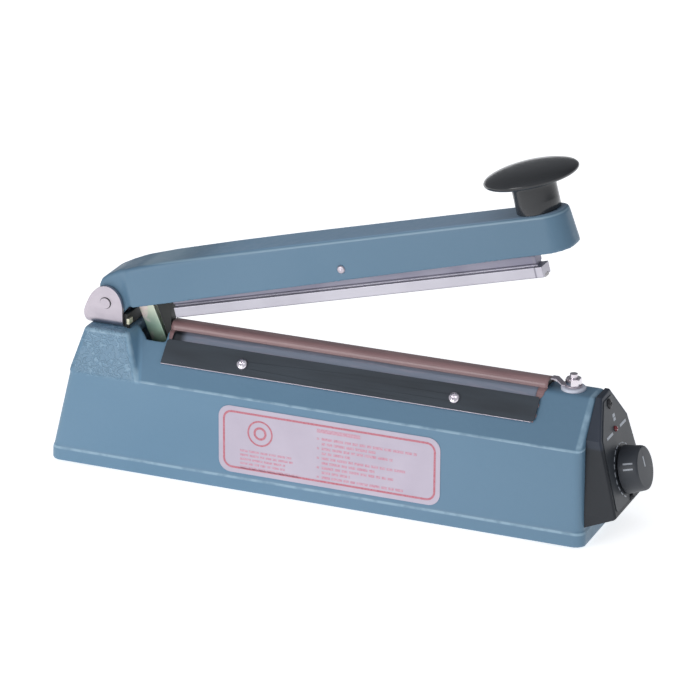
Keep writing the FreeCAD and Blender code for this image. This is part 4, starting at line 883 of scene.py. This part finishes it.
def cloth_sheet(name, section, span, material, ripple, seed, replaced, slant=0.0):
    """A sheet along X with the given (y, z) section; it stands off its bed by a slight ripple,
    and its ends are cut a little unevenly, and on a slant below the deck."""
    chance = random.Random(seed)
    waves = [(chance.uniform(0.02, 0.09), chance.uniform(0.2, 0.7), chance.uniform(0, 6.28))
             for _ in range(5)]
    mesh = bmesh.new()
    grid = []
    for i in range(SHEET_COLUMNS + 1):
        share = i / SHEET_COLUMNS
        x = span[0] + (span[1] - span[0]) * share
        row = []
        for k, (y, z) in enumerate(section):
            before, after = section[max(k - 1, 0)], section[min(k + 1, len(section) - 1)]
            along = Vector((after[0] - before[0], after[1] - before[1])).normalized()
            swell = sum(math.sin(a * x + b * k + c) for a, b, c in waves) / len(waves)
            lift = ripple * (0.5 + 0.5 * swell) * out_side(along, y, z)
            inward = RAGGED + slant * max(0.0, min(abs(y) - DECK[0], 4.0))
            cut = (inward * (1.0 + 0.3 * math.sin(1.3 * k + seed)) * abs(2 * share - 1) ** 30
                   * (1 if share < 0.5 else -1))
            row.append(mesh.verts.new(Vector((x + cut, y - along.y * lift, z + along.x * lift)) * MM))
        grid.append(row)
    for low, high in zip(grid, grid[1:]):
        for k in range(len(section) - 1):
            mesh.faces.new((low[k], low[k + 1], high[k + 1], high[k]))
    obj = new_piece(name, mesh, "base", material, replaced=replaced)
    skin = obj.modifiers.new("thickness", "SOLIDIFY")
    skin.thickness = VISIBLE_T * MM
    skin.offset = 0.0
    return obj


def out_side(along, y, z):
    """Plus or minus 1, so that a lift goes away from the ridge's inside."""
    outward = Vector((-along.y, along.x))
    return 1.0 if outward.dot(Vector((y, z - CREASE[1]))) > 0 else -1.0


def add_cloth():
    """The release cloth over the bed, and along each side a sheet whose grey is a painted sheen."""
    mid = 0.5 * CLOTH_T
    half = over_the_ridge(mid, 5.5) + over_the_bed(mid)
    section = half + [(-y, z) for y, z in half[-2::-1]]
    cloth = cloth_sheet("release_cloth_sheet", section, CLOTH_X, "tan_cloth", 0.05, 3, ["release_cloth"],
                        slant=0.45)
    for side, name in ((1, "side_sheet_near"), (-1, "side_sheet_far")):
        section = [(-side * y, z) for y, z in over_the_ridge(CLOTH_T + mid, SIDE_SHEET_Y)]
        sheet = cloth_sheet(name, section, SIDE_SHEET_X, "grey_sheet", 0.04, 8 + side, ["edge_sheets"])


# ---------------------------------------------------------------- return spring
SPRING_WIRE = 0.35 * MM                # the wire's radius
SPRING_TURNS, STEPS_PER_TURN = 12, 28
CLOSED_SHARE = 1.0 / SPRING_TURNS      # of its turns, at each end
CLOSED_RISE = 0.06                     # of its height, taken by each closed turn


def spring_rise(share):
    """Share of the height that is reached at this share of the turns."""
    if share < CLOSED_SHARE:
        return CLOSED_RISE * share / CLOSED_SHARE
    if share > 1 - CLOSED_SHARE:
        return 1 - CLOSED_RISE * (1 - share) / CLOSED_SHARE
    return CLOSED_RISE + (1 - 2 * CLOSED_RISE) * (share - CLOSED_SHARE) / (1 - 2 * CLOSED_SHARE)


def add_return_spring():
    """Coil with closed end turns, standing between the block in the base and the arm."""
    low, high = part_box("return_spring")
    radius = (high.x - low.x) / 2 - SPRING_WIRE
    middle = Vector(((low.x + high.x) / 2, 0, 0))
    z0, z1 = low.z + SPRING_WIRE, high.z - SPRING_WIRE
    count = SPRING_TURNS * STEPS_PER_TURN
    points = []
    for i in range(count + 1):
        angle = 2 * math.pi * i / STEPS_PER_TURN
        height = z0 + (z1 - z0) * spring_rise(i / count)
        points.append(middle + Vector((radius * math.cos(angle), radius * math.sin(angle), height)))
    mesh = bmesh.new()
    tube(mesh, points, SPRING_WIRE)
    coil = new_piece("return_spring_coil", mesh, None, "spring_steel", replaced=["return_spring"])
    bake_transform(coil)


# ---------------------------------------------------------------- terminal nut
NUT_BORE = 2.02 * MM
NUT_SEGMENTS = 72
NUT_LEVELS = (0.0, 0.25, 0.5, 0.68, 0.78, 0.88, 0.95, 1.0)
TOP_CHAMFER, FOOT_CHAMFER = 1.15, 2.5  # how fast the cones cut the corners back
NUT_SHARP = math.radians(24)


def add_terminal_nut():
    """Six-sided nut whose top corners are turned down to a cone."""
    low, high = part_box("terminal_nut")
    place = Matrix.Translation(Vector(((low.x + high.x) / 2, 0, low.z)))
    flat = (high.y - low.y) / 2
    height = high.z - low.z
    mesh = bmesh.new()
    rings = []
    for share in NUT_LEVELS:
        cone = flat * 1.02 + (1.0 - share) * height * TOP_CHAMFER
        foot_cone = flat * 1.1 + share * height * FOOT_CHAMFER
        ring = []
        for k in range(NUT_SEGMENTS):
            angle = 2 * math.pi * k / NUT_SEGMENTS
            off = (angle + math.pi / 2) % (math.pi / 3) - math.pi / 6
            radius = min(flat / math.cos(off), cone, foot_cone)
            corner = Vector((radius * math.cos(angle), radius * math.sin(angle), share * height))
            ring.append(mesh.verts.new(place @ corner))
        rings.append(ring)
    for radius, z in ((NUT_BORE * 1.25, height), (NUT_BORE, height - 0.35 * MM), (NUT_BORE, 0.0)):
        rings.append([mesh.verts.new(place @ Vector((x, y, z)))
                      for x, y in ring_of_points(radius, NUT_SEGMENTS)])
    for a, b in zip(rings, rings[1:] + rings[:1]):
        skin_between(mesh, a, b)
    nut = new_piece("terminal_nut_hex", mesh, "base", "chrome_screw", replaced=["terminal_nut"])
    edges = nut.modifiers.new("sharp", "EDGE_SPLIT")
    edges.split_angle = NUT_SHARP


# ---------------------------------------------------------------- print on the label
PRINT_T, PRINT_SUNK = 0.05, 0.02       # how far print stands out of its surface, and goes into it
LABEL_T = 0.3
BORDER_INSET, BORDER_W, BORDER_R = 2.4, 1.1, 5.0
MARK_PLACE = (-37.5, 5.2, 0)
MARK_RINGS = ((7.0, 6.1), (3.6, 2.4))
HEADING = (-6.2, 17.4, 12.2, 2.0)      # ends, height on the label and width of the heading's bar
LEFT_ROWS, LEFT_X, LEFT_TOP, LEFT_PITCH, LEFT_BAR = 5, -48.6, -5.4, 2.3, 1.15
RIGHT_ROWS, RIGHT_X, RIGHT_TOP, RIGHT_PITCH, RIGHT_BAR = 9, -3.6, 7.9, 2.6, 1.35
BULLET = (-6.2, -5.0, 1.1)             # ends and width of the mark before every other row


def label_frame():
    """Centre of the label's outer face: X along it, Y up it, Z out of it."""
    low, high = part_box("side_label")
    face_y = high.y - LABEL_T * MM
    up = Vector((0, face_y - low.y, high.z - low.z)).normalized()
    out = Vector((1, 0, 0)).cross(up)
    centre = Vector(((low.x + high.x) / 2, (low.y + face_y) / 2, (low.z + high.z) / 2))
    return Matrix.Translation(centre) @ Matrix((Vector((1, 0, 0)), up, out)).transposed().to_4x4()


def print_bar(mesh, place, x0, x1, y, width):
    slab(mesh, place, (x0, y - width / 2, -PRINT_SUNK), (x1, y + width / 2, PRINT_T))


def print_row(mesh, place, chance, x, end, y, width, longest, gap, spare=0.0):
    """Row of plain bars of uneven length from x to end; none begins in the last spare mm."""
    while x < end - spare:
        length = chance.uniform(2.0, longest)
        print_bar(mesh, place, x, min(x + length, end), y, width)
        x += length + gap


def add_label_print():
    """Border, a plain double ring and rows of plain bars in place of the mark and the words."""
    place = label_frame()
    low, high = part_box("side_label")
    half_x = (high.x - low.x) / 2 / MM - BORDER_INSET
    half_y = (high.z - low.z) / 2 / MM - BORDER_INSET
    border = bmesh.new()
    band(border, place, rounded_outline(half_x, half_y, BORDER_R),
         rounded_outline(half_x - BORDER_W, half_y - BORDER_W, BORDER_R - BORDER_W),
         -PRINT_SUNK, PRINT_T)
    mark = place @ Matrix.Translation(Vector(MARK_PLACE) * MM)
    for outer, inner in MARK_RINGS:
        band(border, mark, ring_of_points(outer, CIRCLE_STEPS), ring_of_points(inner, CIRCLE_STEPS),
             -PRINT_SUNK, PRINT_T)
    new_piece("label_border", border, "base", "red_ink", smooth=False)
    bars = bmesh.new()
    chance = random.Random(11)
    for row in range(LEFT_ROWS):
        end = chance.uniform(-24.0, -15.0)
        y = LEFT_TOP - LEFT_PITCH * row
        print_row(bars, place, chance, LEFT_X, end, y, LEFT_BAR, 6.0, 0.7, spare=1.0)
    print_bar(bars, place, *HEADING)
    for row in range(RIGHT_ROWS):
        y = RIGHT_TOP - RIGHT_PITCH * row
        if row % 2 == 0:
            print_bar(bars, place, BULLET[0], BULLET[1], y, BULLET[2])
        end = chance.uniform(34.0, 48.0) if row % 2 == 0 else chance.uniform(6.0, 30.0)
        print_row(bars, place, chance, RIGHT_X, end, y, RIGHT_BAR, 6.5, 0.8)
    new_piece("label_lines", bars, "base", "faded_ink", smooth=False)


# ---------------------------------------------------------------- print on the dial and the timer knob
DIAL_FACE = 0.4                        # the dial plate's outer face above the cover
DIAL_DASHES, DASH_PARTS, DASH_STEP = 18, 4, 0.15
DIAL_START, DIAL_END = -150.0, 150.0   # degrees from the top mark
DIAL_INNER, DIAL_OUTER = 13.2, 13.8
DIAL_SHAPES = ((0.4, 3.4, 25.4, 26.9), (0.4, 3.4, 27.3, 29.0),
               (-12.6, -4.0, 20.1, 21.5), (6.4, 15.0, 20.1, 21.5))
KNOB_FOOT_R, KNOB_TOP_R = 12.2, 11.3
KNOB_START, KNOB_LENGTH = DIAL_FACE + 0.7, 10.2
GROOVE_HALF, GROOVE_START = 0.53, 1.55
POINTER_HALF, POINTER_START, POINTER_END = 0.55, 0.6, 6.0
SIDE_MARK_ANGLES = (58.0, 72.0)


def add_dial_print():
    """A broken ring round the knob and the plain shapes above it."""
    mesh = bmesh.new()
    pitch = (DIAL_END - DIAL_START) / DIAL_DASHES
    half = 0.56 * math.radians(pitch * DASH_STEP) * DIAL_OUTER
    for k in range(DIAL_DASHES):
        for part in range(DASH_PARTS):
            turn = math.radians(DIAL_START + pitch * (k + DASH_STEP * part))
            mark = FACE_FRAME @ Matrix.Rotation(-turn, 4, "X")
            slab(mesh, mark, (DIAL_FACE - PRINT_SUNK, -half, DIAL_INNER),
                 (DIAL_FACE + PRINT_T, half, DIAL_OUTER))
    for y0, y1, z0, z1 in DIAL_SHAPES:
        slab(mesh, FACE_FRAME, (DIAL_FACE - PRINT_SUNK, y0, z0), (DIAL_FACE + PRINT_T, y1, z1))
    new_piece("dial_marks", mesh, "base", "dial_ink", smooth=False)


def add_timer_pointer():
    """Inlay that closes the knob's groove, a light pointer on it and two marks on its side."""
    face = KNOB_START + KNOB_LENGTH
    floor = face - 0.03                # the inlay stays this much below the knob's face
    mesh = bmesh.new()
    slab(mesh, FACE_FRAME, (face - 0.48, -GROOVE_HALF, GROOVE_START),
         (floor, GROOVE_HALF, KNOB_TOP_R - 1.0))
    new_piece("timer_inlay", mesh, "timer", "black_satin", smooth=False)
    mesh = bmesh.new()
    slab(mesh, FACE_FRAME, (floor, -POINTER_HALF, POINTER_START),
         (face + PRINT_T, POINTER_HALF, POINTER_END))
    new_piece("timer_pointer", mesh, "timer", "dial_ink", smooth=False)
    mesh = bmesh.new()
    lean = math.atan2(KNOB_FOOT_R - KNOB_TOP_R, KNOB_LENGTH)
    halfway = Vector((KNOB_START + 0.5 * KNOB_LENGTH, 0, 0.5 * (KNOB_FOOT_R + KNOB_TOP_R))) * MM
    for angle in SIDE_MARK_ANGLES:
        side = FACE_FRAME @ Matrix.Rotation(math.radians(angle), 4, "X") @ Matrix.Translation(halfway)
        slab(mesh, side @ Matrix.Rotation(lean, 4, "Y"), (-2.0, -0.4, -0.1), (3.0, 0.4, PRINT_T))
    new_piece("timer_side_marks", mesh, "timer", "grey_ink", smooth=False)


PIN_SEAM_OUTER, PIN_SEAM_INNER = 3.15, 2.84


def add_pin_seam():
    """Dark line between the hinge pin's head and the near ear: painted shade of the gap there."""
    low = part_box("hinge_bracket")[0]
    centre = Matrix.Translation(Vector((HINGE.x, low.y, HINGE.z)))
    place = centre @ Matrix.Rotation(math.radians(90), 4, "X")
    mesh = bmesh.new()
    band(mesh, place, ring_of_points(PIN_SEAM_OUTER, CIRCLE_STEPS),
         ring_of_points(PIN_SEAM_INNER, CIRCLE_STEPS), -PRINT_SUNK, 0.06)
    new_piece("hinge_pin_gap_shade", mesh, "base", "black_phenolic", smooth=False)


add_camera()
add_light()
add_floor()
finish_cad_parts()
add_press_knob()
add_cloth()
add_return_spring()
add_terminal_nut()
add_label_print()
add_dial_print()
add_timer_pointer()
add_pin_seam()
